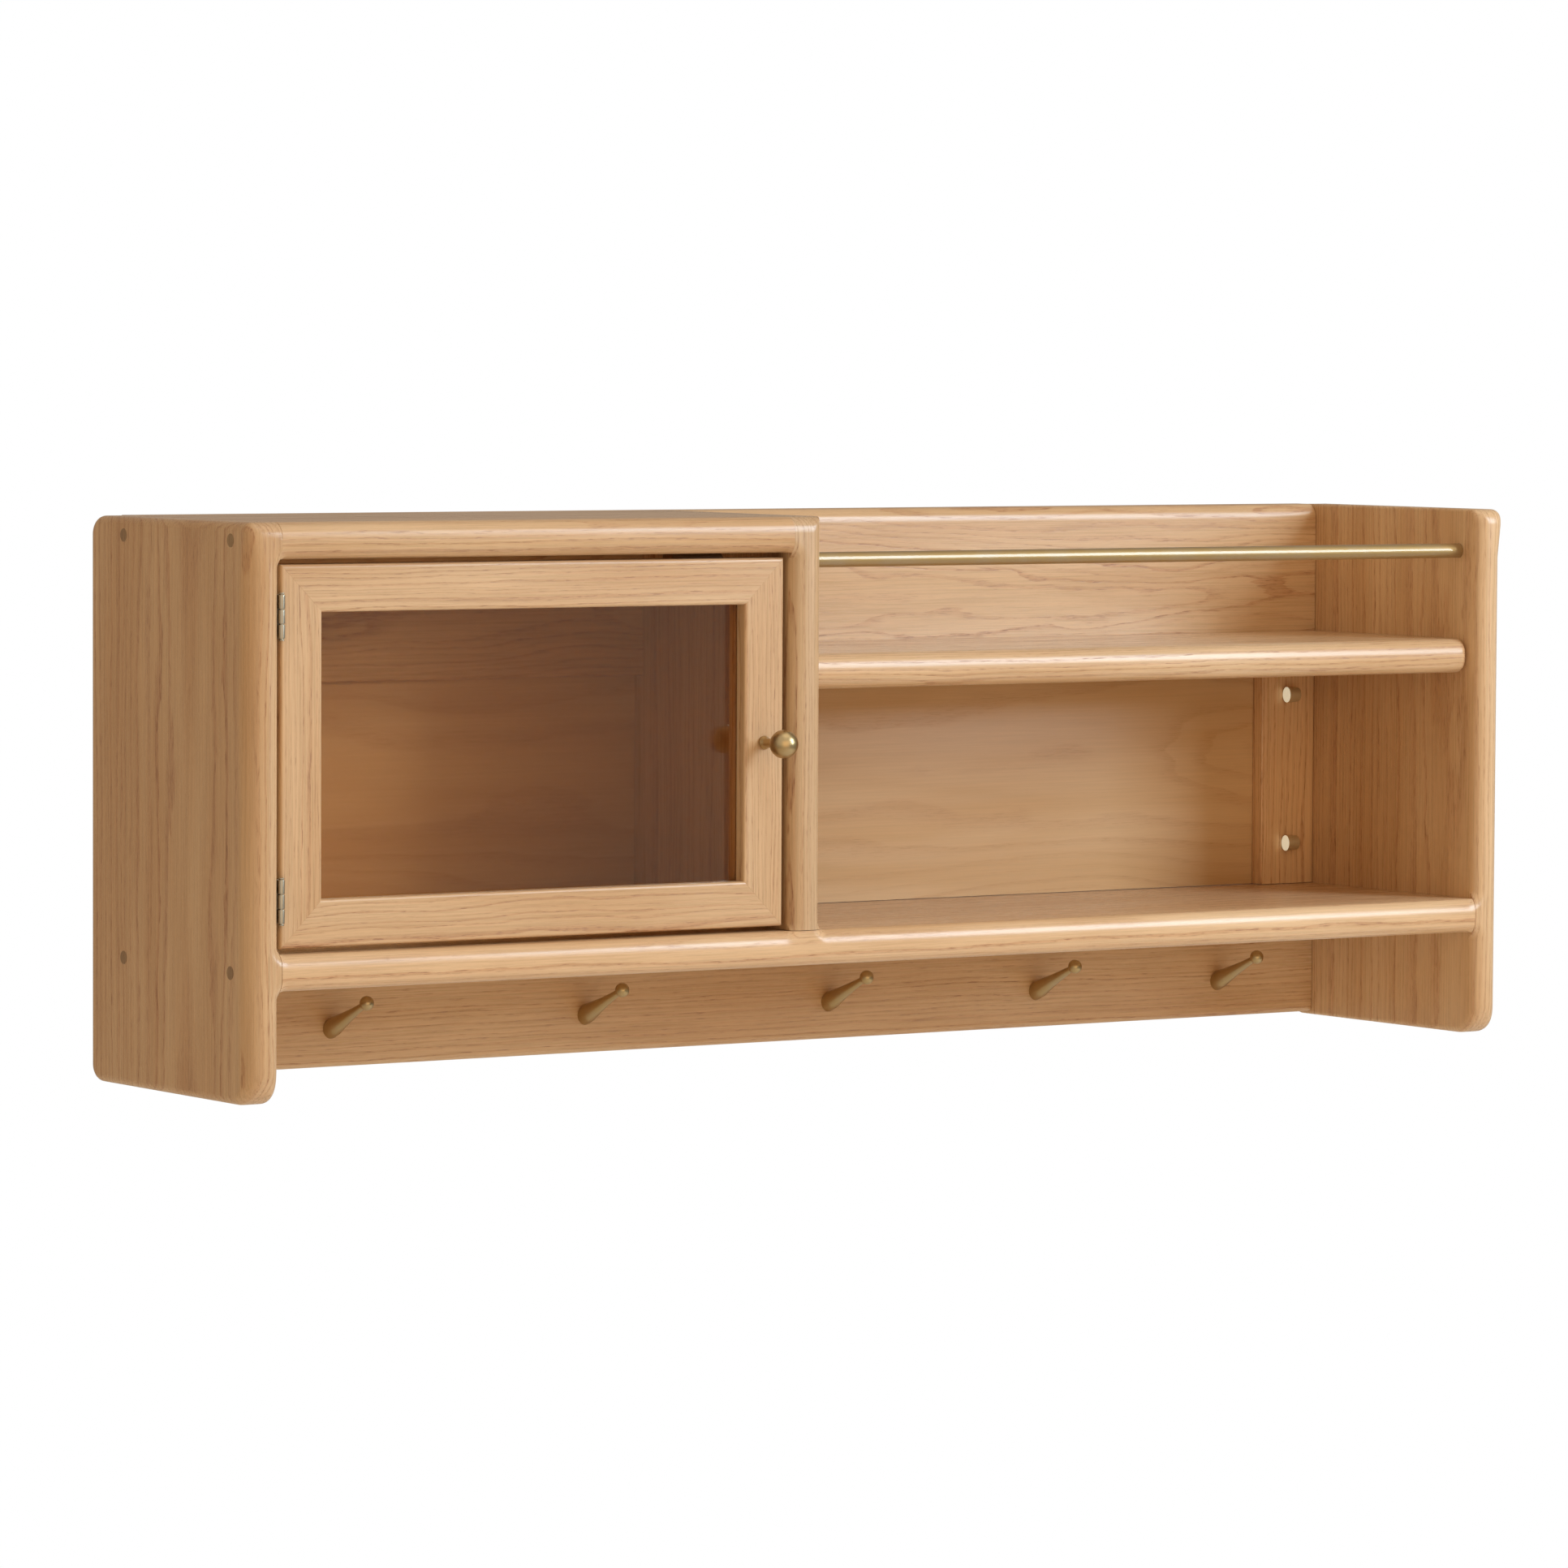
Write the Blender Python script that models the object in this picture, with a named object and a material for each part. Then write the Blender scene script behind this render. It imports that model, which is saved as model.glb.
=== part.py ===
"""Wall-hung oak key cabinet: a glazed door, open shelves with a guard rail, and five key pegs.

Sizes are in metres. Cabinet coordinates run X from the left outer face, Y from the front edges
towards the wall, and Z up from the bottom of the side panels. Everything hangs on the empty
cabinet_frame, which puts the origin on the wall face of the back top rail.
"""

import math

import bmesh
import bpy
import numpy as np

for old in list(bpy.data.objects):
    bpy.data.objects.remove(old, do_unlink=True)

# ---- driving dimensions -------------------------------------------------------------------
WIDTH = 0.900
DEPTH = 0.187
HEIGHT = 0.328
BOARD = 0.021  # every solid board is planed to this thickness
GAP = 0.0003  # glue line or clearance between pieces that touch

EDGE = 0.009  # bullnose radius on the front edges of shelves and divider
OUTER_ARRIS = 0.009  # front outer arris of a side panel
INNER_ARRIS = 0.008  # front inner arris of a side panel
BACK_ARRIS = 0.004  # the side panels' other outer arrises
EASE = 0.001  # eased arrises that hardly show
CORNER_RADII = (0.020, 0.010, 0.010, 0.009)  # side panel: front low, back low, back high, front high
ARC_STEPS = 4

SHELF_LOW = 0.064  # underside of the bottom shelf
UPPER_SHELF_LOW = 0.226
UPPER_SHELF_SETBACK = 0.0095
DIVIDER_LEFT = 0.366

BACK_FRONT = DEPTH - BOARD  # front face of the back rail, stiles and peg rail
BACK_RAIL_LOW = 0.229
STILE_WIDTH = 0.042
PLY_THICKNESS = 0.005
PLY_RECESS = 0.009  # from the stile's face to the plywood
PEG_RAIL_LOW = 0.002

DOOR_GAP = 0.003
DOOR_RECESS = 0.007
DOOR_THICKNESS = 0.020
DOOR_FACE_WIDTH = 0.027
REBATE = 0.007
LIP_DEPTH = 0.0087
GLASS_THICKNESS = 0.004
MITRE_GAP = 0.00025

HINGE_LENGTH = 0.027
HINGE_FROM_END = 0.0145
HINGE_Y = 0.0035
BARREL_RADIUS = 0.0022
PIN_RADIUS = 0.0011
LEAF_THICKNESS = 0.0008
LEAF_FRONT, LEAF_BACK = 0.0061, 0.0180

KNOB_Z = 0.196
KNOB_BALL = 0.0085
KNOB_REACH = 0.0205  # ball centre in front of the door's face
KNOB_BORE = 0.0022

PEG_XS = (0.150, 0.327, 0.504, 0.661, 0.803)
PEG_Z = 0.025
PEG_REACH = (0.041, 0.018)  # ball centre: forward of the rail, and up
PEG_BALL = 0.0043
PEG_BASE = 0.0060
PEG_NECK = 0.0019
STUD_RADIUS = 0.0021

ROD_Y, ROD_Z, ROD_RADIUS = 0.0205, 0.302, 0.0045

WALL_CAP_RADIUS, WALL_CAP_HEIGHT = 0.005, 0.008
WALL_SHANK_RADIUS = 0.0025
WALL_CAP_ZS = (("upper", 0.2065), ("lower", 0.1115))

PLUG_RADIUS, PLUG_DEPTH = 0.004, 0.0055
PLUG_YS = (("front", 0.022), ("back", 0.146))

# ---- derived places -----------------------------------------------------------------------
SHELF_TOP = SHELF_LOW + BOARD
CEILING = HEIGHT - BOARD
DIVIDER_RIGHT = DIVIDER_LEFT + BOARD
RIGHT_INNER = WIDTH - BOARD
DOOR_LEFT, DOOR_RIGHT = BOARD + DOOR_GAP, DIVIDER_LEFT - DOOR_GAP
DOOR_LOW, DOOR_HIGH = SHELF_TOP + DOOR_GAP, CEILING - DOOR_GAP
DOOR_BACK = DOOR_RECESS + DOOR_THICKNESS
GLASS_FRONT = DOOR_RECESS + LIP_DEPTH + GAP
HINGE_X = BOARD + DOOR_GAP / 2
MOUNT_Z = (BACK_RAIL_LOW + HEIGHT) / 2


def empty(name, location, parent=None):
    obj = bpy.data.objects.new(name, None)
    obj.location = location
    obj.parent = parent
    bpy.context.scene.collection.objects.link(obj)
    return obj


CABINET = empty("cabinet_frame", (-WIDTH / 2, -DEPTH, -MOUNT_Z))
DOOR = empty("door_hinge_axis", (HINGE_X, HINGE_Y, 0.0), CABINET)


# ---- materials ----------------------------------------------------------------------------
def material(name, colour, roughness, metallic=0.0, alpha=1.0):
    made = bpy.data.materials.new(name)
    made.use_nodes = True
    shader = made.node_tree.nodes["Principled BSDF"]
    shader.inputs["Base Color"].default_value = (*colour, 1.0)
    shader.inputs["Roughness"].default_value = roughness
    shader.inputs["Metallic"].default_value = metallic
    shader.inputs["Alpha"].default_value = alpha
    return made


OAK = material("oak", (0.60, 0.38, 0.21), 0.45)
PLYWOOD = material("oak_plywood", (0.62, 0.42, 0.24), 0.5)
PLUG_OAK = material("oak_end_grain", (0.25, 0.16, 0.09), 0.6)
BRASS = material("brass", (0.55, 0.40, 0.18), 0.3, 1.0)
NICKEL = material("nickel_steel", (0.60, 0.60, 0.56), 0.3, 1.0)
GLASS = material("bronze_glass", (0.25, 0.14, 0.08), 0.05, 0.0, 0.5)
PLASTIC = material("brown_plastic", (0.16, 0.09, 0.05), 0.4)


# ---- mesh helpers -------------------------------------------------------------------------
def node(name, mesh, look, at=(0.0, 0.0, 0.0), parent=CABINET):
    """A visible object: its mesh is in its own frame, and it is placed at a cabinet position."""
    obj = bpy.data.objects.new(name, mesh)
    bpy.context.scene.collection.objects.link(obj)
    if not mesh.materials:
        mesh.materials.append(look)
    obj.parent = parent
    offset = DOOR.location if parent == DOOR else (0.0, 0.0, 0.0)
    obj.location = [place - shift for place, shift in zip(at, offset)]
    mesh.shade_smooth()
    mesh.set_sharp_from_angle(angle=math.radians(35))
    return obj


def closed_mesh(name, points, faces):
    """A mesh of these points and faces, with its faces turned outwards."""
    mesh = bpy.data.meshes.new(name)
    mesh.from_pydata([tuple(p) for p in points], [], faces)
    build = bmesh.new()
    build.from_mesh(mesh)
    bmesh.ops.recalc_face_normals(build, faces=build.faces)
    build.to_mesh(mesh)
    build.free()
    return mesh


def lofted(name, rings):
    """Rings with the same number of points joined one to the next, with a face over each end."""
    count = len(rings[0])
    faces = [tuple(range(count)), tuple(range((len(rings) - 1) * count, len(rings) * count))]
    for ring in range(len(rings) - 1):
        for i in range(count):
            j = (i + 1) % count
            a, b = ring * count, (ring + 1) * count
            faces.append((a + i, a + j, b + j, b + i))
    return closed_mesh(name, np.concatenate(rings), faces)


def on_axis(flat, along, axis):
    """2-D points put in the plane across an axis: (y, z) for X, (x, z) for Y, (x, y) for Z."""
    flat = np.asarray(flat, float)
    return np.insert(flat, axis, along, axis=1)


def prism(name, outline, length, axis):
    """An outline drawn across an axis and drawn out along it."""
    return lofted(name, [on_axis(outline, 0.0, axis), on_axis(outline, length, axis)])


def block(name, size):
    return prism(name, rounded_rectangle(size[0], size[1], (0, 0, 0, 0)), size[2], 2)


def rounded_rectangle(width, height, radii):
    """Corners in turn: low-low, high-low, high-high, low-high. A radius of 0 keeps it sharp."""
    corners = ((0, 0, 1, 1), (width, 0, -1, 1), (width, height, -1, -1), (0, height, 1, -1))
    outline = []
    for turn, ((x, y, sx, sy), radius) in enumerate(zip(corners, radii)):
        if not radius:
            outline.append((x, y))
            continue
        for step in range(ARC_STEPS + 1):
            angle = math.pi * (1 + turn / 2 + step / ARC_STEPS / 2)
            across = x + sx * radius + radius * math.cos(angle)
            outline.append((across, y + sy * radius + radius * math.sin(angle)))
    return outline


def turned(name, profile, steps=24):
    """A profile of (radius, height) spun round Z. A radius of 0 at an end closes it."""
    build = bmesh.new()
    verts = [build.verts.new((radius, 0.0, height)) for radius, height in profile]
    edges = [build.edges.new(pair) for pair in zip(verts, verts[1:])]
    if profile[0][0] and profile[-1][0]:
        edges.append(build.edges.new((verts[-1], verts[0])))
    bmesh.ops.spin(
        build, geom=verts + edges, cent=(0, 0, 0), axis=(0, 0, 1), angle=math.tau, steps=steps
    )
    bmesh.ops.remove_doubles(build, verts=build.verts, dist=1e-6)
    bmesh.ops.recalc_face_normals(build, faces=build.faces)
    mesh = bpy.data.meshes.new(name)
    build.to_mesh(mesh)
    build.free()
    return mesh


def rod_mesh(name, radius, length, steps=16):
    return turned(name, [(0, 0), (radius, 0), (radius, length), (0, length)], steps)


def turn(mesh, axis, degrees):
    """The mesh itself turned about one of its own axes."""
    angle = math.radians(degrees)
    other, third = ((1, 2), (2, 0), (0, 1))[axis]
    points = np.array([v.co[:] for v in mesh.vertices])
    turned_points = points.copy()
    turned_points[:, other] = math.cos(angle) * points[:, other] - math.sin(angle) * points[:, third]
    turned_points[:, third] = math.sin(angle) * points[:, other] + math.cos(angle) * points[:, third]
    mesh.vertices.foreach_set("co", turned_points.ravel())
    return mesh


def combine(target, operation, mesh, at):
    """A Boolean between an object and a helper at a cabinet position, kept as a modifier."""
    helper = bpy.data.objects.new(f"{target.name}_{operation.lower()}_helper", mesh)
    bpy.context.scene.collection.objects.link(helper)
    helper.parent = CABINET
    helper.location = at
    helper.hide_render = True
    helper.display_type = "WIRE"
    modifier = target.modifiers.new(operation.lower(), "BOOLEAN")
    modifier.operation = operation
    modifier.object = helper


def drill(target, at, axis, radius, length):
    """A round hole that starts at a position and runs along +axis."""
    cutter = rod_mesh(f"{target.name}_drill", radius, length, 12)
    if axis == 0:
        turn(cutter, 1, 90)
    if axis == 1:
        turn(cutter, 0, -90)
    combine(target, "DIFFERENCE", cutter, at)


# ---- side panels --------------------------------------------------------------------------
def side_panel_mesh(name, outer_at_low_x):
    """The panel's outline with rings that step round its arrises, from one face to the other.

    Each ring is the outline moved in by r(1 - cos a), at a depth of r(1 - sin a), where r is the
    arris radius there and a runs round the quarter circle.
    """
    outline = np.array(rounded_rectangle(DEPTH, HEIGHT, CORNER_RADII))
    turns = np.repeat(np.arange(4), ARC_STEPS + 1) + np.tile(np.linspace(0, 1, ARC_STEPS + 1), 4)
    angle = math.pi * (1 + turns / 2)
    outward = np.stack([np.cos(angle), np.sin(angle)], axis=1)
    frontness = np.clip(-outward[:, 0], 0.0, 1.0)[:, None]
    arrises = (
        BACK_ARRIS + (OUTER_ARRIS - BACK_ARRIS) * frontness,
        EASE + (INNER_ARRIS - EASE) * frontness,
    )
    rings = []
    for face, radius in enumerate(arrises):
        for step in range(ARC_STEPS, -1, -1) if face == 0 else range(ARC_STEPS + 1):
            a = math.pi / 2 * step / ARC_STEPS
            flat = outline - outward * radius * (1 - math.cos(a))
            depth = radius[:, 0] * (1 - math.sin(a))
            rings.append(np.column_stack([depth if face == 0 else BOARD - depth, flat]))
    if not outer_at_low_x:
        rings = [ring * (-1, 1, 1) + (BOARD, 0, 0) for ring in rings]
    return lofted(name, rings)


PANEL_SHELVES = {
    "left": (("top", CEILING + BOARD / 2), ("shelf", SHELF_LOW + BOARD / 2)),
    "right": (("top", UPPER_SHELF_LOW + BOARD / 2), ("shelf", SHELF_LOW + BOARD / 2)),
}


def side_panels():
    """Both side panels, with the wood plugs that cover the joining screws."""
    for side, low_x in (("left", 0.0), ("right", RIGHT_INNER)):
        mesh = side_panel_mesh(f"{side}_side_panel", side == "left")
        panel = node(f"{side}_side_panel", mesh, OAK, (low_x, 0.0, 0.0))
        plug_mesh = turn(rod_mesh(f"{side}_plug", PLUG_RADIUS, PLUG_DEPTH, 12), 1, 90)
        plug_x = 0.0 if side == "left" else WIDTH - PLUG_DEPTH
        mouth_x = -PLUG_DEPTH if side == "left" else WIDTH - PLUG_DEPTH - GAP
        hole_length = 2 * PLUG_DEPTH + GAP
        for level, z in PANEL_SHELVES[side]:
            for place, y in PLUG_YS:
                drill(panel, (mouth_x, y, z), 0, PLUG_RADIUS + GAP, hole_length)
                node(f"{side}_{level}_{place}_plug", plug_mesh, PLUG_OAK, (plug_x, y, z))
        if side == "left":
            for z in hinge_screw_heights():
                start = BOARD - HINGE_SCREW_LENGTH - GAP
                drill(panel, (start, HINGE_SCREW_Y, z), 0, HINGE_SHANK + GAP, HINGE_SCREW_LENGTH * 2)


# ---- carcass boards -----------------------------------------------------------------------
def shelf_mesh(name, depth, length):
    """A board along X whose front edge is a bullnose."""
    return prism(name, rounded_rectangle(depth, BOARD, (EDGE, EASE, EASE, EDGE)), length, 0)


def divider():
    """The upright board, which reaches the plywood and is notched round the back top rail."""
    depth = BACK_FRONT + PLY_RECESS - GAP
    outline = rounded_rectangle(BOARD, depth, (EDGE, EDGE, 0, 0))
    mesh = prism("divider_panel", outline, HEIGHT - SHELF_TOP - GAP, 2)
    panel = node("divider_panel", mesh, OAK, (DIVIDER_LEFT, 0.0, SHELF_TOP + GAP))
    notch = block("rail_notch", (3 * BOARD, BOARD, HEIGHT))
    at = (DIVIDER_LEFT - BOARD, BACK_FRONT - GAP, BACK_RAIL_LOW - GAP)
    combine(panel, "DIFFERENCE", notch, at)


def carcass_boards():
    bay = DIVIDER_LEFT - BOARD - 2 * GAP
    node(
        "top_panel",
        shelf_mesh("top_panel", BACK_FRONT - GAP, bay),
        OAK,
        (BOARD + GAP, 0.0, CEILING),
    )
    divider()
    node(
        "bottom_shelf",
        shelf_mesh("bottom_shelf", DEPTH, WIDTH - 2 * BOARD - 2 * GAP),
        OAK,
        (BOARD + GAP, 0.0, SHELF_LOW),
    )
    upper_depth = BACK_FRONT - GAP - UPPER_SHELF_SETBACK
    node(
        "upper_shelf",
        shelf_mesh("upper_shelf", upper_depth, RIGHT_INNER - DIVIDER_RIGHT - 2 * GAP),
        OAK,
        (DIVIDER_RIGHT + GAP, UPPER_SHELF_SETBACK, UPPER_SHELF_LOW),
    )
    rod = turn(rod_mesh("guard_rail_rod", ROD_RADIUS, RIGHT_INNER - DIVIDER_RIGHT - 2 * GAP, 24), 1, 90)
    node("guard_rail_rod", rod, BRASS, (DIVIDER_RIGHT + GAP, ROD_Y, ROD_Z))


def back_frame():
    """Back top rail, two stiles and the two thin plywood panels set behind their faces."""
    inside = WIDTH - 2 * BOARD - 2 * GAP
    rail_height = HEIGHT - BACK_RAIL_LOW
    rail = rounded_rectangle(BOARD, rail_height, (EASE, EASE, EASE, EDGE))
    node(
        "back_top_rail",
        prism("back_top_rail", rail, inside, 0),
        OAK,
        (BOARD + GAP, BACK_FRONT, BACK_RAIL_LOW),
    )
    stile_height = BACK_RAIL_LOW - SHELF_TOP - 2 * GAP
    ply_front = BACK_FRONT + PLY_RECESS
    for side, low_x in (("left", BOARD + GAP), ("right", RIGHT_INNER - STILE_WIDTH)):
        name = f"back_{side}_stile"
        mesh = block(name, (STILE_WIDTH - GAP, BOARD, stile_height))
        stile = node(name, mesh, OAK, (low_x, BACK_FRONT, SHELF_TOP + GAP))
        cap_x = low_x + STILE_WIDTH / 2
        cap = turn(turned(f"wall_cap_{side}", wall_cap_profile(), 16), 0, -90)
        for level, z in WALL_CAP_ZS:
            drill(stile, (cap_x, BACK_FRONT - BOARD, z), 1, WALL_SHANK_RADIUS + GAP, 3 * BOARD)
            at = (cap_x, BACK_FRONT - GAP - WALL_CAP_HEIGHT, z)
            node(f"{level}_{side}_wall_screw", cap, BRASS, at)
    middle = DIVIDER_LEFT + BOARD / 2
    for side, low_x, high_x in (
        ("left", BOARD + STILE_WIDTH + GAP, middle - GAP / 2),
        ("right", middle + GAP / 2, RIGHT_INNER - STILE_WIDTH - GAP),
    ):
        name = f"back_panel_{side}"
        mesh = block(name, (high_x - low_x, PLY_THICKNESS, stile_height))
        node(name, mesh, PLYWOOD, (low_x, ply_front, SHELF_TOP + GAP))


def wall_cap_profile():
    """Round cap with an eased rim, and the shank that runs through the stile behind it."""
    rim = 0.0008
    end = WALL_CAP_HEIGHT + GAP + BOARD
    return [
        (0, 0),
        (WALL_CAP_RADIUS - rim, 0),
        (WALL_CAP_RADIUS, rim),
        (WALL_CAP_RADIUS, WALL_CAP_HEIGHT),
        (WALL_SHANK_RADIUS, WALL_CAP_HEIGHT),
        (WALL_SHANK_RADIUS, end),
        (0, end),
    ]


# ---- peg rail -----------------------------------------------------------------------------
def peg_mesh():
    """A tapered peg with a ball tip, cut off flat at the rail's face, with its threaded stud.

    Along its own axis the radius falls from the base to the neck, and the ball sits on the neck.
    """
    reach, rise = PEG_REACH
    length = math.hypot(reach, rise)
    buried = 0.008
    waist = length - math.sqrt(PEG_BALL**2 - PEG_NECK**2)
    bulge = 0.005
    taper = 4
    profile = [(0, -buried), (PEG_BASE, -buried), (PEG_BASE, bulge)]
    for step in range(1, taper + 1):
        t = step / taper
        ease = t * (1.5 - 0.5 * t)
        profile.append((PEG_BASE + (PEG_NECK - PEG_BASE) * ease, bulge + (waist - bulge) * t))
    first = math.asin(PEG_NECK / PEG_BALL)
    for step in range(1, 7):
        a = first + (math.pi - first) * step / 6
        radius = PEG_BALL * math.sin(a) if step < 6 else 0.0
        profile.append((radius, length - PEG_BALL * math.cos(a)))
    mesh = turned("key_peg", profile, 16)
    turn(mesh, 0, 90 - math.degrees(math.atan2(rise, reach)))
    build = bmesh.new()
    build.from_mesh(mesh)
    everything = list(build.verts) + list(build.edges) + list(build.faces)
    cut = bmesh.ops.bisect_plane(
        build, geom=everything, plane_co=(0, -GAP, 0), plane_no=(0, 1, 0), clear_outer=True
    )
    rim = [item for item in cut["geom_cut"] if isinstance(item, bmesh.types.BMEdge)]
    bmesh.ops.holes_fill(build, edges=rim)
    bmesh.ops.recalc_face_normals(build, faces=build.faces)
    build.to_mesh(mesh)
    build.free()
    return mesh


def peg_rail():
    inside = WIDTH - 2 * BOARD - 2 * GAP
    height = SHELF_LOW - PEG_RAIL_LOW - GAP
    outline = rounded_rectangle(BOARD, height, (0.003, EASE, EASE, EASE))
    mesh = prism("peg_rail", outline, inside, 0)
    rail = node("peg_rail", mesh, OAK, (BOARD + GAP, BACK_FRONT, PEG_RAIL_LOW))
    stud_length = 0.014
    peg = peg_mesh()
    for number, x in enumerate(PEG_XS, start=1):
        body = node(f"key_peg_{number}", peg, BRASS, (x, BACK_FRONT, PEG_Z))
        stud = turn(rod_mesh("peg_stud", STUD_RADIUS, stud_length, 12), 0, -90)
        combine(body, "UNION", stud, (x, BACK_FRONT - 0.002, PEG_Z))
        drill(rail, (x, BACK_FRONT - BOARD, PEG_Z), 1, STUD_RADIUS + GAP, 3 * BOARD)


# ---- door ---------------------------------------------------------------------------------
def mitred_member(name, length, axis, flip):
    """A frame member with a rebate behind for the glass, mitred at both ends.

    Its section is drawn as (distance from the door's outer edge, depth from the door's face), and
    each point runs from its own distance to the length less that distance, which is the mitre.
    """
    ease = 0.0015
    width, step = DOOR_FACE_WIDTH, DOOR_FACE_WIDTH - REBATE
    section = [
        (0.0, ease),
        (0.0, DOOR_THICKNESS),
        (step, DOOR_THICKNESS),
        (step, LIP_DEPTH),
        (width, LIP_DEPTH),
        (width, ease),
        (width - ease, 0.0),
        (ease, 0.0),
    ]
    rings = []
    for end in (0, 1):
        ring = []
        for inward, depth in section:
            run = inward + MITRE_GAP
            along = length - run if end else run
            across = -inward if flip else inward
            ring.append((along, depth, across) if axis == 0 else (across, depth, along))
        rings.append(np.array(ring))
    return lofted(name, rings)


def door_frame():
    width, height = DOOR_RIGHT - DOOR_LEFT, DOOR_HIGH - DOOR_LOW
    members = (
        ("door_bottom_rail", width, 0, False, (DOOR_LEFT, DOOR_LOW)),
        ("door_top_rail", width, 0, True, (DOOR_LEFT, DOOR_HIGH)),
        ("door_hinge_stile", height, 2, False, (DOOR_LEFT, DOOR_LOW)),
        ("door_lock_stile", height, 2, True, (DOOR_RIGHT, DOOR_LOW)),
    )
    made = {}
    for name, length, axis, flip, (x, z) in members:
        mesh = mitred_member(name, length, axis, flip)
        made[name] = node(name, mesh, OAK, (x, DOOR_RECESS, z), DOOR)
    for z in hinge_screw_heights():
        at = (DOOR_LEFT - HINGE_SCREW_LENGTH, HINGE_SCREW_Y, z)
        length = 2 * HINGE_SCREW_LENGTH + GAP
        drill(made["door_hinge_stile"], at, 0, HINGE_SHANK + GAP, length)
    at = (knob_x(), DOOR_RECESS - DOOR_THICKNESS, KNOB_Z)
    drill(made["door_lock_stile"], at, 1, KNOB_BORE + GAP, 3 * DOOR_THICKNESS)


def door_glazing():
    """The pane in the rebate, and four beads behind it."""
    inset = DOOR_FACE_WIDTH - REBATE + 0.0005
    left, right = DOOR_LEFT + inset, DOOR_RIGHT - inset
    low, high = DOOR_LOW + inset, DOOR_HIGH - inset
    pane = block("door_glass", (right - left, GLASS_THICKNESS, high - low))
    node("door_glass", pane, GLASS, (left, GLASS_FRONT, low), DOOR)
    bead_front = GLASS_FRONT + GLASS_THICKNESS + GAP
    bead_depth = DOOR_BACK - bead_front
    bead = REBATE - 0.001
    for name, z in (("bottom", low), ("top", high - bead)):
        mesh = block(f"glass_bead_{name}", (right - left, bead_depth, bead))
        node(f"glass_bead_{name}", mesh, OAK, (left, bead_front, z), DOOR)
    for name, x in (("hinge_side", left), ("lock_side", right - bead)):
        mesh = block(f"glass_bead_{name}", (bead, bead_depth, high - low - 2 * bead - 2 * GAP))
        node(f"glass_bead_{name}", mesh, OAK, (x, bead_front, low + bead + GAP), DOOR)


def knob_x():
    return DOOR_RIGHT - DOOR_FACE_WIDTH / 2


def door_knob():
    """A ball on a short flared stem, bored for the screw that comes through the stile."""
    bore_depth = 0.010
    stem = [(0.0042, 0.0), (0.0042, 0.0012), (0.0031, 0.0035), (0.0030, 0.0095)]
    profile = [(KNOB_BORE, bore_depth), (KNOB_BORE, 0.0), *stem]
    first = math.asin(0.0034 / KNOB_BALL)
    for step in range(9):
        a = first + (math.pi - first) * step / 8
        radius = KNOB_BALL * math.sin(a) if step < 8 else 0.0
        profile.append((radius, KNOB_REACH - KNOB_BALL * math.cos(a)))
    knob = turn(turned("door_knob", [(0.0, bore_depth), *profile], 20), 0, 90)
    node("door_knob", knob, BRASS, (knob_x(), DOOR_RECESS - GAP, KNOB_Z), DOOR)
    head, shank = 0.0038, KNOB_BORE - GAP
    reach = DOOR_THICKNESS + GAP + bore_depth - 2 * GAP
    shape = [(0, 0), (shank, 0), (shank, reach), (head, reach), (head, reach + 0.0014)]
    shape += [(head * 0.6, reach + 0.0022), (0, reach + 0.0024)]
    screw = turn(turned("knob_screw", shape, 16), 0, -90)
    node("knob_screw", screw, NICKEL, (knob_x(), DOOR_BACK + GAP - reach, KNOB_Z), DOOR)


# ---- hinges -------------------------------------------------------------------------------
HINGE_SCREW_LENGTH = 0.009
HINGE_SCREW_Y = (LEAF_FRONT + LEAF_BACK) / 2
HINGE_SHANK = 0.0009
HINGE_HEAD = 0.0016
HINGES = (
    ("lower", DOOR_LOW + HINGE_FROM_END),
    ("upper", DOOR_HIGH - HINGE_FROM_END - HINGE_LENGTH),
)
SCREW_STEP = HINGE_LENGTH / 4


def hinge_screw_heights():
    return [low + SCREW_STEP * place for _, low in HINGES for place in (1, 3)]


def hinge_leaf(name, low_z, plate_x, knuckles, parent):
    """A flat leaf with its knuckles, which wrap the pin."""
    plate_depth = LEAF_BACK - LEAF_FRONT
    plate = block(name, (LEAF_THICKNESS, plate_depth, HINGE_LENGTH))
    leaf = node(name, plate, NICKEL, (plate_x, LEAF_FRONT, low_z), parent)
    web_depth = LEAF_FRONT - HINGE_Y + 0.001
    for start, length in knuckles:
        web = block("knuckle_web", (LEAF_THICKNESS, web_depth, length))
        combine(leaf, "UNION", web, (plate_x, HINGE_Y, low_z + start))
        barrel = rod_mesh("knuckle_barrel", BARREL_RADIUS, length, 16)
        combine(leaf, "UNION", barrel, (HINGE_X, HINGE_Y, low_z + start))
    drill(leaf, (HINGE_X, HINGE_Y, low_z - 0.002), 2, PIN_RADIUS + GAP / 2, HINGE_LENGTH + 0.004)
    for place in (1, 3):
        at = (plate_x - 0.002, HINGE_SCREW_Y, low_z + SCREW_STEP * place)
        drill(leaf, at, 0, HINGE_HEAD + GAP, 0.005)


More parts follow.
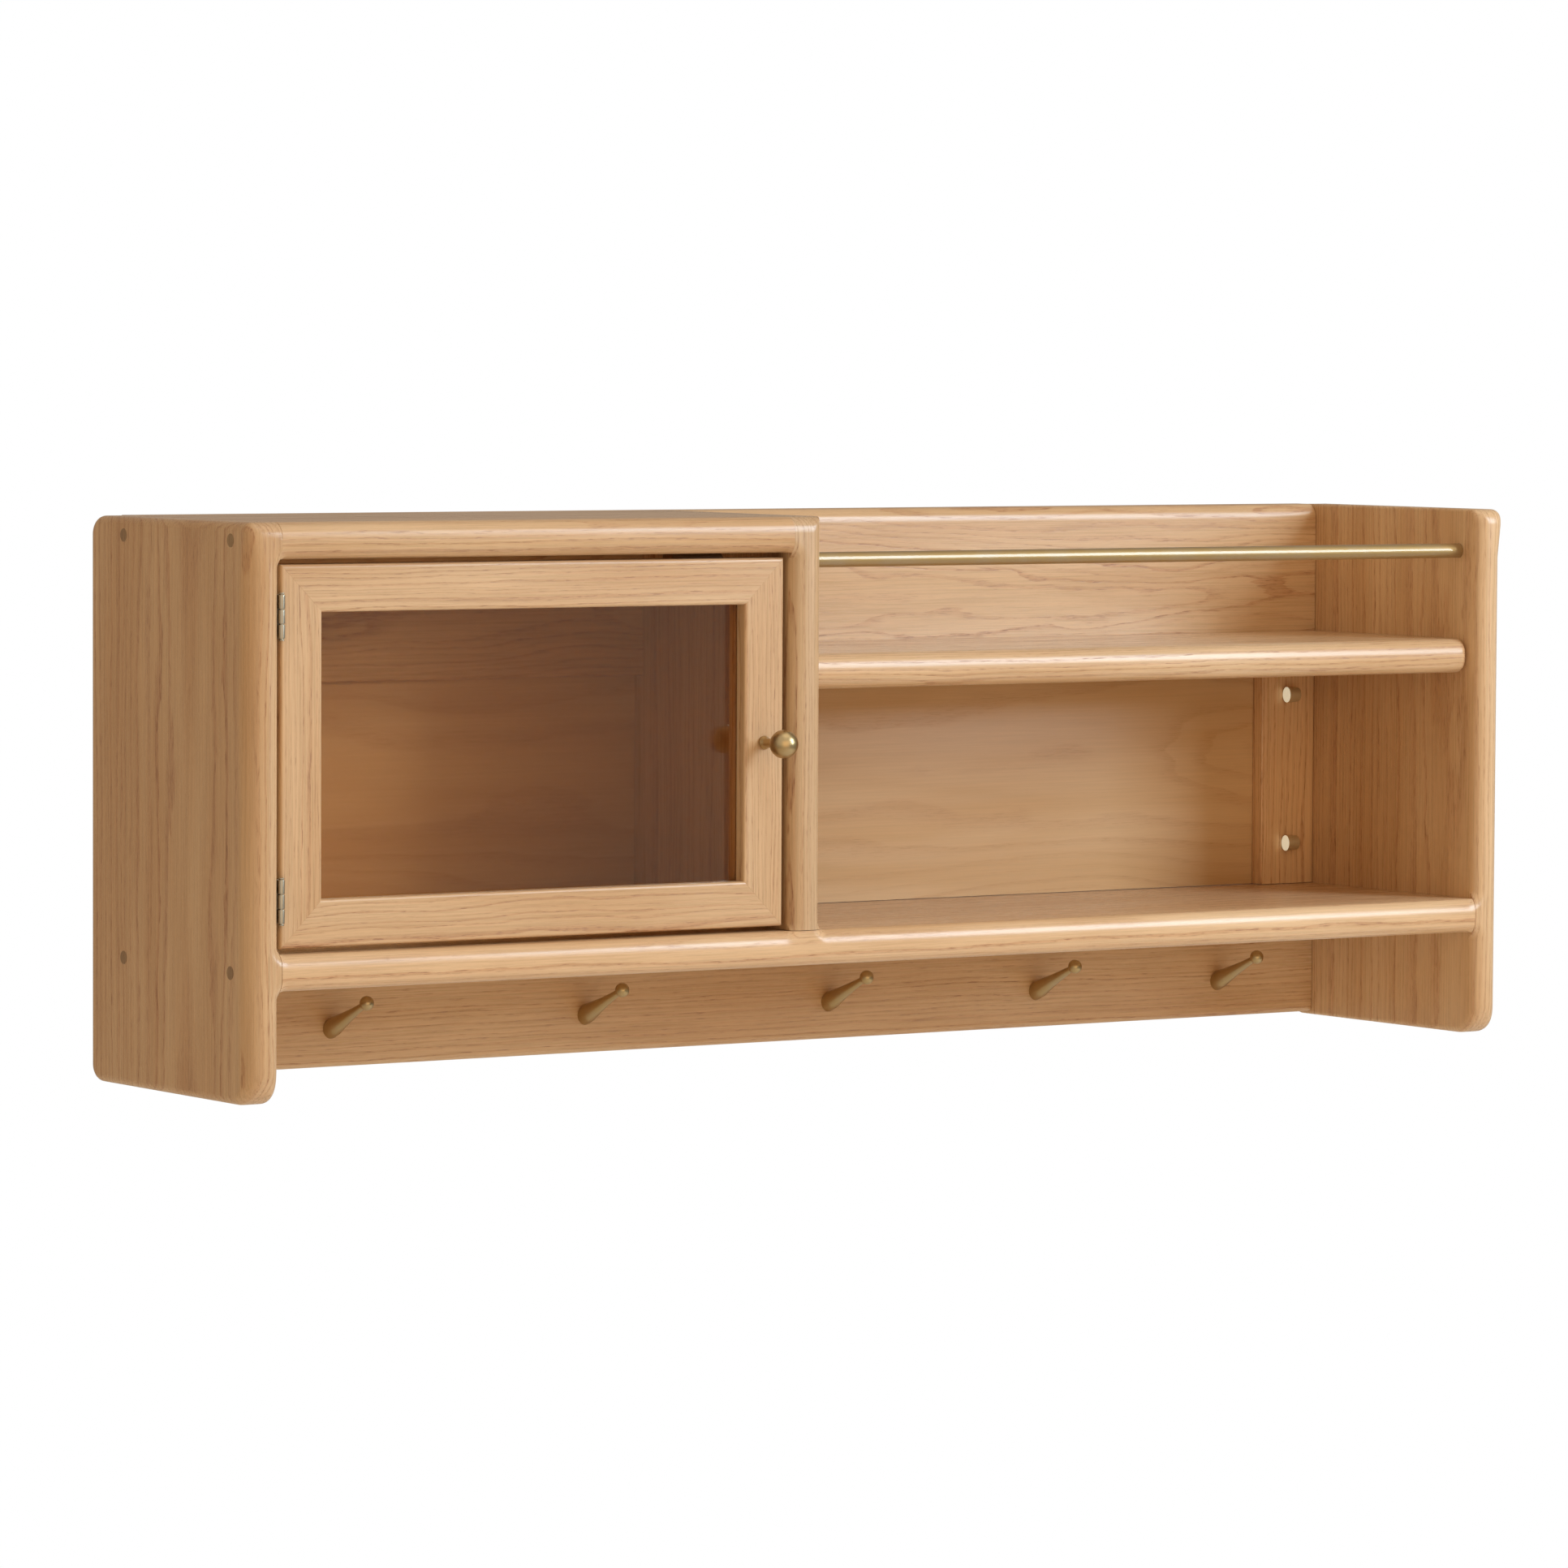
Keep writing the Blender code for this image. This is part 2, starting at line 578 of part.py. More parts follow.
def hinges():
    third = HINGE_LENGTH / 3
    outer = ((0.0, third - GAP / 2), (2 * third + GAP / 2, third - GAP / 2))
    middle = ((third + GAP / 2, third - GAP),)
    frame_x = BOARD + GAP
    door_x = DOOR_LEFT - GAP - LEAF_THICKNESS
    screw_profile = [(0, 0), (HINGE_SHANK, 0), (HINGE_SHANK, HINGE_SCREW_LENGTH - LEAF_THICKNESS)]
    screw_profile += [(HINGE_HEAD, HINGE_SCREW_LENGTH - LEAF_THICKNESS)]
    screw_profile += [(HINGE_HEAD, HINGE_SCREW_LENGTH), (0, HINGE_SCREW_LENGTH)]
    frame_screw = turn(turned("frame_screw", screw_profile, 12), 1, 90)
    door_screw = turn(turned("door_screw", screw_profile, 12), 1, -90)
    for level, low_z in HINGES:
        hinge_leaf(f"{level}_hinge_frame_leaf", low_z, frame_x, outer, CABINET)
        hinge_leaf(f"{level}_hinge_door_leaf", low_z, door_x, middle, DOOR)
        head, cap = 0.0016, 0.0007
        pin = turned(
            f"{level}_hinge_pin",
            [
                (0, -GAP - cap),
                (head, -GAP - cap),
                (head, -GAP),
                (PIN_RADIUS, -GAP),
                (PIN_RADIUS, HINGE_LENGTH + GAP),
                (head, HINGE_LENGTH + GAP),
                (head, HINGE_LENGTH + GAP + cap),
                (0, HINGE_LENGTH + GAP + cap),
            ],
            16,
        )
        node(f"{level}_hinge_pin", pin, NICKEL, (HINGE_X, HINGE_Y, low_z))
        for place, height in (("low", 1), ("high", 3)):
            z = low_z + SCREW_STEP * height
            at = (frame_x + LEAF_THICKNESS - HINGE_SCREW_LENGTH, HINGE_SCREW_Y, z)
            node(f"{level}_hinge_frame_screw_{place}", frame_screw, NICKEL, at)
            at = (door_x + HINGE_SCREW_LENGTH, HINGE_SCREW_Y, z)
            node(f"{level}_hinge_door_screw_{place}", door_screw, NICKEL, at, DOOR)


# ---- magnetic catch -----------------------------------------------------------------------
def magnetic_catch():
    """Catch body under the top panel, its magnet in a pocket, and the strike plate on the door."""
    low_x, low_z = 0.300, CEILING - 0.0130
    body_size = (0.036, 0.014, 0.0130 - GAP)
    front = DOOR_BACK + 0.0020
    body = node("magnet_catch_body", block("magnet_catch_body", body_size), PLASTIC, (low_x, front, low_z))
    wall, pocket = 0.004, 0.006
    hole = (body_size[0] - 2 * wall, pocket * 2, 0.0070)
    combine(body, "DIFFERENCE", block("magnet_pocket", hole), (low_x + wall, front - pocket, low_z + 0.003))
    magnet_size = (hole[0] - 2 * GAP, pocket - GAP + 0.0004, hole[2] - 2 * GAP)
    at = (low_x + wall + GAP, front - 0.0004, low_z + 0.003 + GAP)
    node("catch_magnet", block("catch_magnet", magnet_size), NICKEL, at)
    plate = block("strike_plate", (0.030, 0.0010, 0.0100))
    node("strike_plate", plate, NICKEL, (low_x + 0.003, DOOR_BACK + GAP, low_z), DOOR)


side_panels()
carcass_boards()
back_frame()
peg_rail()
door_frame()
door_glazing()
door_knob()
hinges()
magnetic_catch()
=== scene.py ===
"""Looks for the wall-hung oak key cabinet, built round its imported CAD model.

Lengths in millimetres are turned to metres by MM. X runs along the cabinet, Y into the wall and
Z up. Every shape is worked out as whole numpy arrays and placed by the CAD nodes' own boxes.
"""

import math

import bmesh
import bpy
import numpy as np
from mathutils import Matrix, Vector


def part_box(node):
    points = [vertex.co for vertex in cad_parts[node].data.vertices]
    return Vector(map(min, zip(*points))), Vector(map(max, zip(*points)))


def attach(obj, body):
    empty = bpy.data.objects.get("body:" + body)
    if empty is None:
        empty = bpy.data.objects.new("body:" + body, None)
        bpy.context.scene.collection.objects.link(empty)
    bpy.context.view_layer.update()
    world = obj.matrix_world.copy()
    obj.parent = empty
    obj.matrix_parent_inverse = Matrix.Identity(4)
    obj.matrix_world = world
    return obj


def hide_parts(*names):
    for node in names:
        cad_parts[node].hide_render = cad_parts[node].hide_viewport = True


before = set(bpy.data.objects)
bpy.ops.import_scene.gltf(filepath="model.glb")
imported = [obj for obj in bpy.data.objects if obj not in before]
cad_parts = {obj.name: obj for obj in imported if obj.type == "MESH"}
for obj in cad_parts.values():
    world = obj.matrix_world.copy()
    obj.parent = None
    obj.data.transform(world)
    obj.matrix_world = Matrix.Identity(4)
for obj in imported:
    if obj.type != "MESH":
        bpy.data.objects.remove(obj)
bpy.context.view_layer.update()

MM = 0.001
JOINT = 0.03 * MM  # half of the hairline left where two boards meet
SUPPORT = 0.6 * MM  # how far past a rounded edge the flat's first points lie


def box(node):
    """The lowest and highest corner of a CAD node."""
    low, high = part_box(node)
    return np.array(low), np.array(high)


LEFT_LOW, LEFT_HIGH = box("left_side_panel")
RIGHT_LOW, _ = box("right_side_panel")
SHELF_LOW, SHELF_HIGH = box("bottom_shelf")
TOP_LOW, TOP_HIGH = box("top_panel")
DIVIDER_LOW, DIVIDER_HIGH = box("divider_panel")
FRONT = LEFT_LOW[1]  # the plane that the carcass fronts lie in

# ---- routed front edges -------------------------------------------------------------------
# After glue-up a roundover cutter is run round every opening. Its bearing can't reach into a
# corner, so each inside corner of the roundover is swept round the bearing.
BEARING = 5 * MM
FAR = 1.0  # past every board
INNER_R, EDGE_R, OUTER_R = 8.5 * MM, 9 * MM, 12.5 * MM  # openings, board edges, outer faces
OPENINGS = (  # (x range, z range, cutter radius)
    ((LEFT_HIGH[0], DIVIDER_LOW[0]), (SHELF_HIGH[2], TOP_LOW[2]), INNER_R),
    ((DIVIDER_HIGH[0], RIGHT_LOW[0]), (SHELF_HIGH[2], FAR), INNER_R),
    ((LEFT_HIGH[0], RIGHT_LOW[0]), (-FAR, SHELF_LOW[2]), INNER_R),
    ((-FAR, FAR), (LEFT_HIGH[2], FAR), EDGE_R),
)


def roundover(inward, radius):
    """How far a quarter-round edge falls away at a distance in from its side.

    r - sqrt(r^2 - (r - d)^2) for d from 0 to r, and nothing further in.
    """
    d = np.clip(inward, 0.0, radius)
    return radius - np.sqrt(np.maximum(radius**2 - (radius - d) ** 2, 0.0))


def routed(x, z):
    """How far the carcass front lies behind its plane at (x, z).

    For each opening, the distance from the point to the opening drawn in by the bearing's
    radius, less that radius, is how far in the point is, and the deepest cut wins.
    """
    deepest = np.zeros(np.broadcast(x, z).shape)
    for (x0, x1), (z0, z1), radius in OPENINGS:
        dx = np.maximum(np.maximum(x0 + BEARING - x, x - (x1 - BEARING)), 0.0)
        dz = np.maximum(np.maximum(z0 + BEARING - z, z - (z1 - BEARING)), 0.0)
        deepest = np.maximum(deepest, roundover(np.hypot(dx, dz) - BEARING, radius))
    return deepest


def quarter(steps):
    """Angles of a quarter turn, from 0."""
    return np.linspace(0.0, math.pi / 2, steps + 1)


def stations(low, high, close_to, coarse=14 * MM, fine=0.9 * MM, reach=15 * MM):
    """Places from low to high that crowd together within reach of each place given."""
    places = [np.linspace(low, high, max(2, int((high - low) / coarse) + 1))]
    for place in close_to:
        crowd = place + np.arange(-reach, reach + fine / 2, fine)
        places.append(np.append(crowd, place))
    merged = np.unique(np.round(np.concatenate(places), 6))
    merged = merged[(merged > low + 0.2 * MM) & (merged < high - 0.2 * MM)]
    return np.concatenate([[low], merged, [high]])


# ---- putting meshes in the scene ----------------------------------------------------------
def grid_faces(rows, columns):
    """Quads over a grid of points numbered row by row, with each row closed on itself."""
    i = np.arange(rows - 1)[:, None] * columns
    j = np.arange(columns)[None, :]
    k = (j + 1) % columns
    quads = np.stack([i + j, i + k, i + columns + k, i + columns + j], axis=-1)
    return quads.reshape(-1, 4).tolist()


def shell(rings):
    """A closed surface through rings of points, with a face over each end: (points, faces)."""
    rings = np.asarray(rings, float)
    rows, columns = rings.shape[:2]
    faces = grid_faces(rows, columns)
    faces.append(list(range(columns)))
    faces.append(list(range((rows - 1) * columns, rows * columns)))
    return rings.reshape(-1, 3), faces


def joined(*shells):
    """Several (points, faces) as one."""
    points, faces, start = [], [], 0
    for some, theirs in shells:
        points.append(some)
        faces += [[index + start for index in face] for face in theirs]
        start += len(some)
    return np.concatenate(points), faces


def put(name, surface, material, body="cabinet", nodes=None, grain=None, crease=34):
    """A finished piece: welded, outward facing, smooth, riding its body and shown for its nodes.

    Edges sharper than crease, in degrees, are drawn sharp.
    """
    points, faces = surface
    mesh = bpy.data.meshes.new(name)
    mesh.from_pydata(points.tolist(), [], faces)
    build = bmesh.new()
    build.from_mesh(mesh)
    bmesh.ops.remove_doubles(build, verts=build.verts, dist=1e-6)
    bmesh.ops.dissolve_degenerate(build, edges=build.edges, dist=1e-7)
    bmesh.ops.recalc_face_normals(build, faces=build.faces)
    build.to_mesh(mesh)
    build.free()
    mesh.shade_smooth()
    mesh.set_sharp_from_angle(angle=math.radians(crease))
    mesh.materials.append(material)
    if grain is not None:
        write_grain(mesh, grain)
    piece = bpy.data.objects.new(name, mesh)
    bpy.context.scene.collection.objects.link(piece)
    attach(piece, body)
    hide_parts(*(nodes or [name]))
    return piece


# ---- where each board was cut from its log ------------------------------------------------
LOG_STEP = 731.0  # mm along the log from one board's start to the next


def cut(along, across, pith, tone=1.0, warmth=0.0, spacing=1.0, figure=1.0):
    """How a board lies in its log.

    along and across are axis numbers, and pith is the log's centre from the board's centre, as
    (mm across, mm deep). tone and warmth colour the board, spacing widens its rings, and figure
    makes them wander more. Each board starts further along the log than the one before.
    """
    cut.count += 1
    return {
        "along": along,
        "across": across,
        "pith": pith,
        "board": (tone, warmth, spacing),
        "figure": figure,
        "offset": LOG_STEP * cut.count,
    }


cut.count = 0


def write_grain(mesh, board):
    """Gives every vertex its place in the log, in millimetres: along it, across and deep from
    its pith. Two more attributes carry the board's tone, warmth and ring spacing, and its figure."""
    count = len(mesh.vertices)
    flat = np.empty(count * 3, np.float32)
    mesh.vertices.foreach_get("co", flat)
    points = flat.reshape(-1, 3).astype(float) / MM
    centre = (points.min(0) + points.max(0)) / 2
    deep = 3 - board["along"] - board["across"]
    place = np.column_stack(
        [
            points[:, board["along"]] + board["offset"],
            points[:, board["across"]] - centre[board["across"]] - board["pith"][0],
            points[:, deep] - centre[deep] - board["pith"][1],
        ]
    )
    for name, values in (("grain", place), ("board", np.tile(board["board"], (count, 1)))):
        attribute = mesh.attributes.new(name, "FLOAT_VECTOR", "POINT")
        attribute.data.foreach_set("vector", values.astype(np.float32).ravel())
    attribute = mesh.attributes.new("figure", "FLOAT", "POINT")
    attribute.data.foreach_set("value", np.full(count, board["figure"], np.float32))


# ---- materials ----------------------------------------------------------------------------
def srgb(code):
    """An sRGB hex colour as linear RGBA."""
    channels = np.array([int(code[i : i + 2], 16) for i in (1, 3, 5)]) / 255
    linear = np.where(channels <= 0.04045, channels / 12.92, ((channels + 0.055) / 1.055) ** 2.4)
    return (*linear.tolist(), 1.0)


def add(tree, kind, inputs=None, **settings):
    """Adds a node with its settings. An input is a value, or another node's output to link."""
    made = tree.nodes.new(kind)
    for name, value in settings.items():
        setattr(made, name, value)
    for key, value in (inputs or {}).items():
        if isinstance(value, bpy.types.NodeSocket):
            tree.links.new(value, made.inputs[key])
        else:
            made.inputs[key].default_value = value
    return made


def new_material(name):
    made = bpy.data.materials.new(name)
    made.use_nodes = True
    return made, made.node_tree, made.node_tree.nodes["Principled BSDF"]


def maths(tree, operation, a, b=0.0, c=0.0):
    return add(tree, "ShaderNodeMath", {0: a, 1: b, 2: c}, operation=operation).outputs[0]


def ramp(tree, value, low, high, start=0.0, end=1.0):
    """Runs smoothly from start to end while value goes from low to high."""
    settings = {"Value": value, "From Min": low, "From Max": high, "To Min": start, "To Max": end}
    return add(tree, "ShaderNodeMapRange", settings, interpolation_type="SMOOTHSTEP").outputs[0]


def mixed(tree, factor, first, second, blend="MIX"):
    inputs = {0: factor, 6: first, 7: second}
    made = add(tree, "ShaderNodeMix", inputs, data_type="RGBA", blend_type=blend)
    return made.outputs[2]


def noise(tree, vector, per_mm, detail=2.0, roughness=0.5):
    """Noise whose features are 1/per_mm millimetres long along, across and deep in the log."""
    scaled = add(tree, "ShaderNodeVectorMath", {0: vector, 1: per_mm}, operation="MULTIPLY")
    inputs = {"Vector": scaled.outputs[0], "Scale": 1.0, "Detail": detail, "Roughness": roughness}
    return add(tree, "ShaderNodeTexNoise", inputs).outputs["Fac"]


RAGGED = 1.2  # mm that the finest waver moves a ring by


def wood(name, colours, spacing, sweep, wobble, ring_share, pore_share, fibre, roughness):
    """Sawn wood under a clear satin lacquer, from its log's growth rings.

    A point's ring number is its distance from the pith, bent by slow and quick noise, over the
    ring spacing. Each ring starts with a narrow dark band of open pores, cut lengthways into
    dashes, and the rest of the year is plain and finely fibred.
    """
    made, tree, shader = new_material(name)
    pale, deep, ring, pore = (srgb(code) for code in colours)
    grain = add(tree, "ShaderNodeAttribute", attribute_name="grain").outputs["Vector"]
    board = add(tree, "ShaderNodeAttribute", attribute_name="board").outputs["Vector"]
    figure = add(tree, "ShaderNodeAttribute", attribute_name="figure").outputs["Fac"]
    tone, warmth, widen = add(tree, "ShaderNodeSeparateXYZ", {0: board}).outputs
    _, across, deep_in = add(tree, "ShaderNodeSeparateXYZ", {0: grain}).outputs

    def bend(value, by, amount):
        return maths(tree, "MULTIPLY_ADD", maths(tree, "SUBTRACT", by, 0.5), amount, value)

    squared = maths(tree, "MULTIPLY", deep_in, deep_in)
    radius = maths(tree, "SQRT", maths(tree, "MULTIPLY_ADD", across, across, squared))
    slow = noise(tree, grain, (0.0030, 0.012, 0.012), 1.0)
    quick = noise(tree, grain, (0.012, 0.055, 0.055), 1.0)
    fine = noise(tree, grain, (0.05, 0.42, 0.42), 2.0)
    bent = bend(radius, slow, maths(tree, "MULTIPLY", figure, sweep))
    bent = bend(bent, quick, maths(tree, "MULTIPLY", figure, wobble))
    bent = bend(bent, fine, RAGGED)
    rings = maths(tree, "DIVIDE", bent, maths(tree, "MULTIPLY", widen, spacing))
    # years differ: a one-dimensional noise stretches some rings and squeezes others
    inputs = {"W": rings, "Scale": 0.23, "Detail": 1.0}
    uneven = add(tree, "ShaderNodeTexNoise", inputs, noise_dimensions="1D").outputs["Fac"]
    rings = maths(tree, "MULTIPLY_ADD", uneven, 3.0, rings)
    inputs = {"W": maths(tree, "FLOOR", rings)}
    year = add(tree, "ShaderNodeTexWhiteNoise", inputs, noise_dimensions="1D").outputs["Value"]
    season = maths(tree, "FRACT", rings)
    rise, fall = ramp(tree, season, 0.0, 0.08), ramp(tree, season, 0.08, 0.55, 1.0, 0.0)
    early = maths(tree, "MULTIPLY", maths(tree, "MULTIPLY", rise, fall),
                  maths(tree, "MULTIPLY_ADD", year, 0.7, 0.3))

    # pores are drawn about 0.7 mm wide, twice life size, so that they hold together at a distance
    dashes = ramp(tree, noise(tree, grain, (0.11, 1.5, 1.5), 2.0, 0.6), 0.50, 0.68)
    pores = maths(tree, "MULTIPLY", dashes, maths(tree, "MULTIPLY_ADD", early, 0.85, 0.15))
    fibres = noise(tree, grain, (0.014, 0.75, 0.75), 3.0, 0.65)
    blotch = noise(tree, grain, (0.004, 0.03, 0.03), 2.0)

    colour = mixed(tree, ramp(tree, blotch, 0.3, 0.7), pale, deep)
    band = maths(tree, "MULTIPLY", early, maths(tree, "MULTIPLY_ADD", dashes, 0.4, 0.6))
    colour = mixed(tree, maths(tree, "MULTIPLY", band, ring_share), colour, ring)
    streak = bend(1.0, fibres, fibre)
    streak = add(tree, "ShaderNodeCombineColor", {0: streak, 1: streak, 2: streak}).outputs[0]
    colour = mixed(tree, 1.0, colour, streak, "MULTIPLY")
    colour = mixed(tree, maths(tree, "MULTIPLY", pores, pore_share), colour, pore)
    red = maths(tree, "MULTIPLY_ADD", warmth, 0.06, tone)
    blue = maths(tree, "MULTIPLY_ADD", warmth, -0.12, tone)
    shade = add(tree, "ShaderNodeCombineColor", {0: red, 1: tone, 2: blue}).outputs[0]
    colour = mixed(tree, 1.0, colour, shade, "MULTIPLY")
    tree.links.new(colour, shader.inputs["Base Color"])

    gloss = maths(tree, "MULTIPLY_ADD", pores, 0.15, roughness)
    gloss = bend(gloss, fibres, 0.12)
    tree.links.new(gloss, shader.inputs["Roughness"])
    height = maths(tree, "MULTIPLY_ADD", pores, -1.0, maths(tree, "MULTIPLY", fibres, 0.5))
    height = maths(tree, "MULTIPLY_ADD", early, -0.3, height)
    bump = add(tree, "ShaderNodeBump", {"Strength": 0.3, "Distance": 0.00010, "Height": height})
    tree.links.new(bump.outputs[0], shader.inputs["Normal"])
    shader.inputs["IOR"].default_value = 1.5
    return made


def metal(name, colour, roughness, grain_per_m, unevenness, lacquer=0.0):
    """Turned or drawn metal: fine tool marks, a slight cloudiness in the polish, and over it as
    much smooth clear lacquer as lacquer says."""
    made, tree, shader = new_material(name)
    place = add(tree, "ShaderNodeTexCoord").outputs["Object"]
    marks = noise(tree, place, grain_per_m, 2.0)
    cloud = noise(tree, place, (60.0, 60.0, 60.0), 2.0)
    rough = maths(tree, "MULTIPLY_ADD", maths(tree, "SUBTRACT", cloud, 0.5), unevenness, roughness)
    rough = maths(tree, "MULTIPLY_ADD", maths(tree, "SUBTRACT", marks, 0.5), unevenness, rough)
    tree.links.new(rough, shader.inputs["Roughness"])
    greyer = mixed(tree, ramp(tree, cloud, 0.35, 0.75), srgb(colour), srgb("#A9A9A9"))
    tinted = mixed(tree, 0.12, srgb(colour), greyer)
    tree.links.new(tinted, shader.inputs["Base Color"])
    shader.inputs["Metallic"].default_value = 1.0
    shader.inputs["Coat Weight"].default_value = lacquer
    shader.inputs["Coat Roughness"].default_value = 0.09
    return made


# White oak boards, planed, sanded and sprayed with a satin lacquer: warm tan with thin darker
# lines of short open pores, and a soft sheen that breaks over them.
OAK = wood(
    "lacquered_oak", ("#D6B893", "#CAA77F", "#A66A43", "#7C4E30"), spacing=2.8, sweep=9.0,
    wobble=3.2, ring_share=0.68, pore_share=0.6, fibre=0.45, roughness=0.28)
# Flat-cut oak veneer on plywood, under the same lacquer: broad, soft figure and finer pores.
PLYWOOD = wood(
    "oak_veneer_plywood", ("#D8BC96", "#CCAA7E", "#B0825A", "#9A6E48"), spacing=9.5, sweep=70.0,
    wobble=9.0, ring_share=0.38, pore_share=0.15, fibre=0.2, roughness=0.34)
# Side-grain plugs glued over the joining screws: browner and duller than the panel round them.
PLUG = wood(
    "oak_plugs", ("#A28764", "#8F7355", "#75593C", "#62472C"), spacing=2.0, sweep=6.0,
    wobble=2.0, ring_share=0.5, pore_share=0.5, fibre=0.4, roughness=0.5)
# Turned brass, brushed: a satin, slightly brown gold.
BRASS = metal("satin_brass", "#B59C6E", 0.32, (400.0, 400.0, 400.0), 0.05)
# The guard rail is drawn brass, brushed lengthways under clear lacquer: a dull gold with one
# crisp white line of light.
DRAWN_BRASS = metal("drawn_brass", "#AC8E5C", 0.62, (8.0, 500.0, 500.0), 0.03, 0.8)
# Cold-rolled steel, nickel plated: a dull pale grey.
NICKEL = metal("nickel_plated_steel", "#ADA592", 0.34, (700.0, 700.0, 700.0), 0.1)


def tinted_glass():
    """Bronze float glass with polished faces. Lamps reach through it by a clear, tinted stand-in,
    and the camera sees a smooth mirror over a brown view of the inside."""
    made, tree, shader = new_material("bronze_float_glass")
    shader.inputs["Base Color"].default_value = srgb("#E1C5A1")
    shader.inputs["Roughness"].default_value = 0.04
    shader.inputs["IOR"].default_value = 1.5
    shader.inputs["Transmission Weight"].default_value = 1.0
    clear = add(tree, "ShaderNodeBsdfTransparent", {"Color": srgb("#EEE1D2")})
    lamp_ray = add(tree, "ShaderNodeLightPath").outputs["Is Shadow Ray"]
    inputs = {0: lamp_ray, 1: shader.outputs[0], 2: clear.outputs[0]}
    mixer = add(tree, "ShaderNodeMixShader", inputs)
    tree.links.new(mixer.outputs[0], tree.nodes["Material Output"].inputs["Surface"])
    return made


def moulded_plastic():
    """Injection-moulded ABS with a fine spark-eroded texture: mid brown and dull."""
    made, tree, shader = new_material("brown_moulded_abs")
    place = add(tree, "ShaderNodeTexCoord").outputs["Object"]
    texture = noise(tree, place, (2200.0, 2200.0, 2200.0), 2.0)
    colour = mixed(tree, texture, srgb("#84603F"), srgb("#936D4A"))
    tree.links.new(colour, shader.inputs["Base Color"])
    bump = add(tree, "ShaderNodeBump", {"Strength": 0.3, "Distance": 0.00004, "Height": texture})
    tree.links.new(bump.outputs[0], shader.inputs["Normal"])
    shader.inputs["Roughness"].default_value = 0.5
    return made


def aluminium_and_nylon():
    """Champagne anodised aluminium with a cream nylon disc let into the end nearer the middle.

    The disc is drawn with a faint glow, a painted highlight on that end.
    """
    made, tree, shader = new_material("champagne_aluminium_and_nylon_with_painted_glow")
    place = add(tree, "ShaderNodeTexCoord").outputs["Object"]
    x, _, _ = add(tree, "ShaderNodeSeparateXYZ", {0: place}).outputs
    end = box("upper_right_wall_screw")[0][0]
    disc = ramp(tree, maths(tree, "ABSOLUTE", x), end + 0.2 * MM, end + 0.5 * MM, 1.0, 0.0)
    tree.links.new(mixed(tree, disc, srgb("#CFC09C"), srgb("#F3EDD8")), shader.inputs["Base Color"])
    tree.links.new(ramp(tree, disc, 0.0, 1.0, 0.5, 0.0), shader.inputs["Metallic"])
    # the disc's glow is a painted highlight, drawn as emission
    tree.links.new(maths(tree, "MULTIPLY", disc, 0.45), shader.inputs["Emission Strength"])
    shader.inputs["Emission Color"].default_value = srgb("#ECEDD0")
    shader.inputs["Roughness"].default_value = 0.4
    return made


GLASS = tinted_glass()
PLASTIC = moulded_plastic()
CHAMPAGNE = aluminium_and_nylon()


# ---- side panels --------------------------------------------------------------------------
# Corner radii seen from the side: front low, back low, back high, front high.
SIDE_CORNERS = (20 * MM, 10 * MM, 11 * MM, 9 * MM)
OUTER_ARRIS, UPPER_FRONT_R = 5.5 * MM, 8.4 * MM
INNER_ARRIS, LOW_INNER_ARRIS, GLUED_ARRIS = 2 * MM, 4 * MM, 0.4 * MM
PLUG_PROUD = 0.1 * MM


def side_outline(low, high, radii, front_stops, steps=14):
    """The panel's outline from the side: points, outward normals, and where on the way round.

    Corners in turn are front low, back low, back high, front high; front_stops are the heights
    of the extra points up the front.
    """
    y0, z0, y1, z1 = low[1], low[2], high[1], high[2]
    a, b, c, d = radii
    turn = quarter(steps)
    centres = ((y0 + a, z0 + a, a, math.pi), (y1 - b, z0 + b, b, 1.5 * math.pi))
    centres += ((y1 - c, z1 - c, c, 0.0), (y0 + d, z1 - d, d, math.pi / 2))
    points, normals, parts = [], [], []
    for number, (y, z, radius, start) in enumerate(centres):
        angle = start + turn
        facing = np.column_stack([np.cos(angle), np.sin(angle)])
        points.append(np.array([y, z]) + radius * facing)
        normals.append(facing)
        parts.append(np.full(len(angle), number) + turn / (math.pi / 2) * 0.999)
    stops = front_stops[(front_stops > z0 + a + 0.5 * MM) & (front_stops < z1 - d - 0.5 * MM)][::-1]
    points.append(np.column_stack([np.full(len(stops), y0), stops]))
    normals.append(np.tile([-1.0, 0.0], (len(stops), 1)))
    parts.append(np.full(len(stops), 4.0))
    return np.concatenate(points), np.concatenate(normals), np.concatenate(parts)


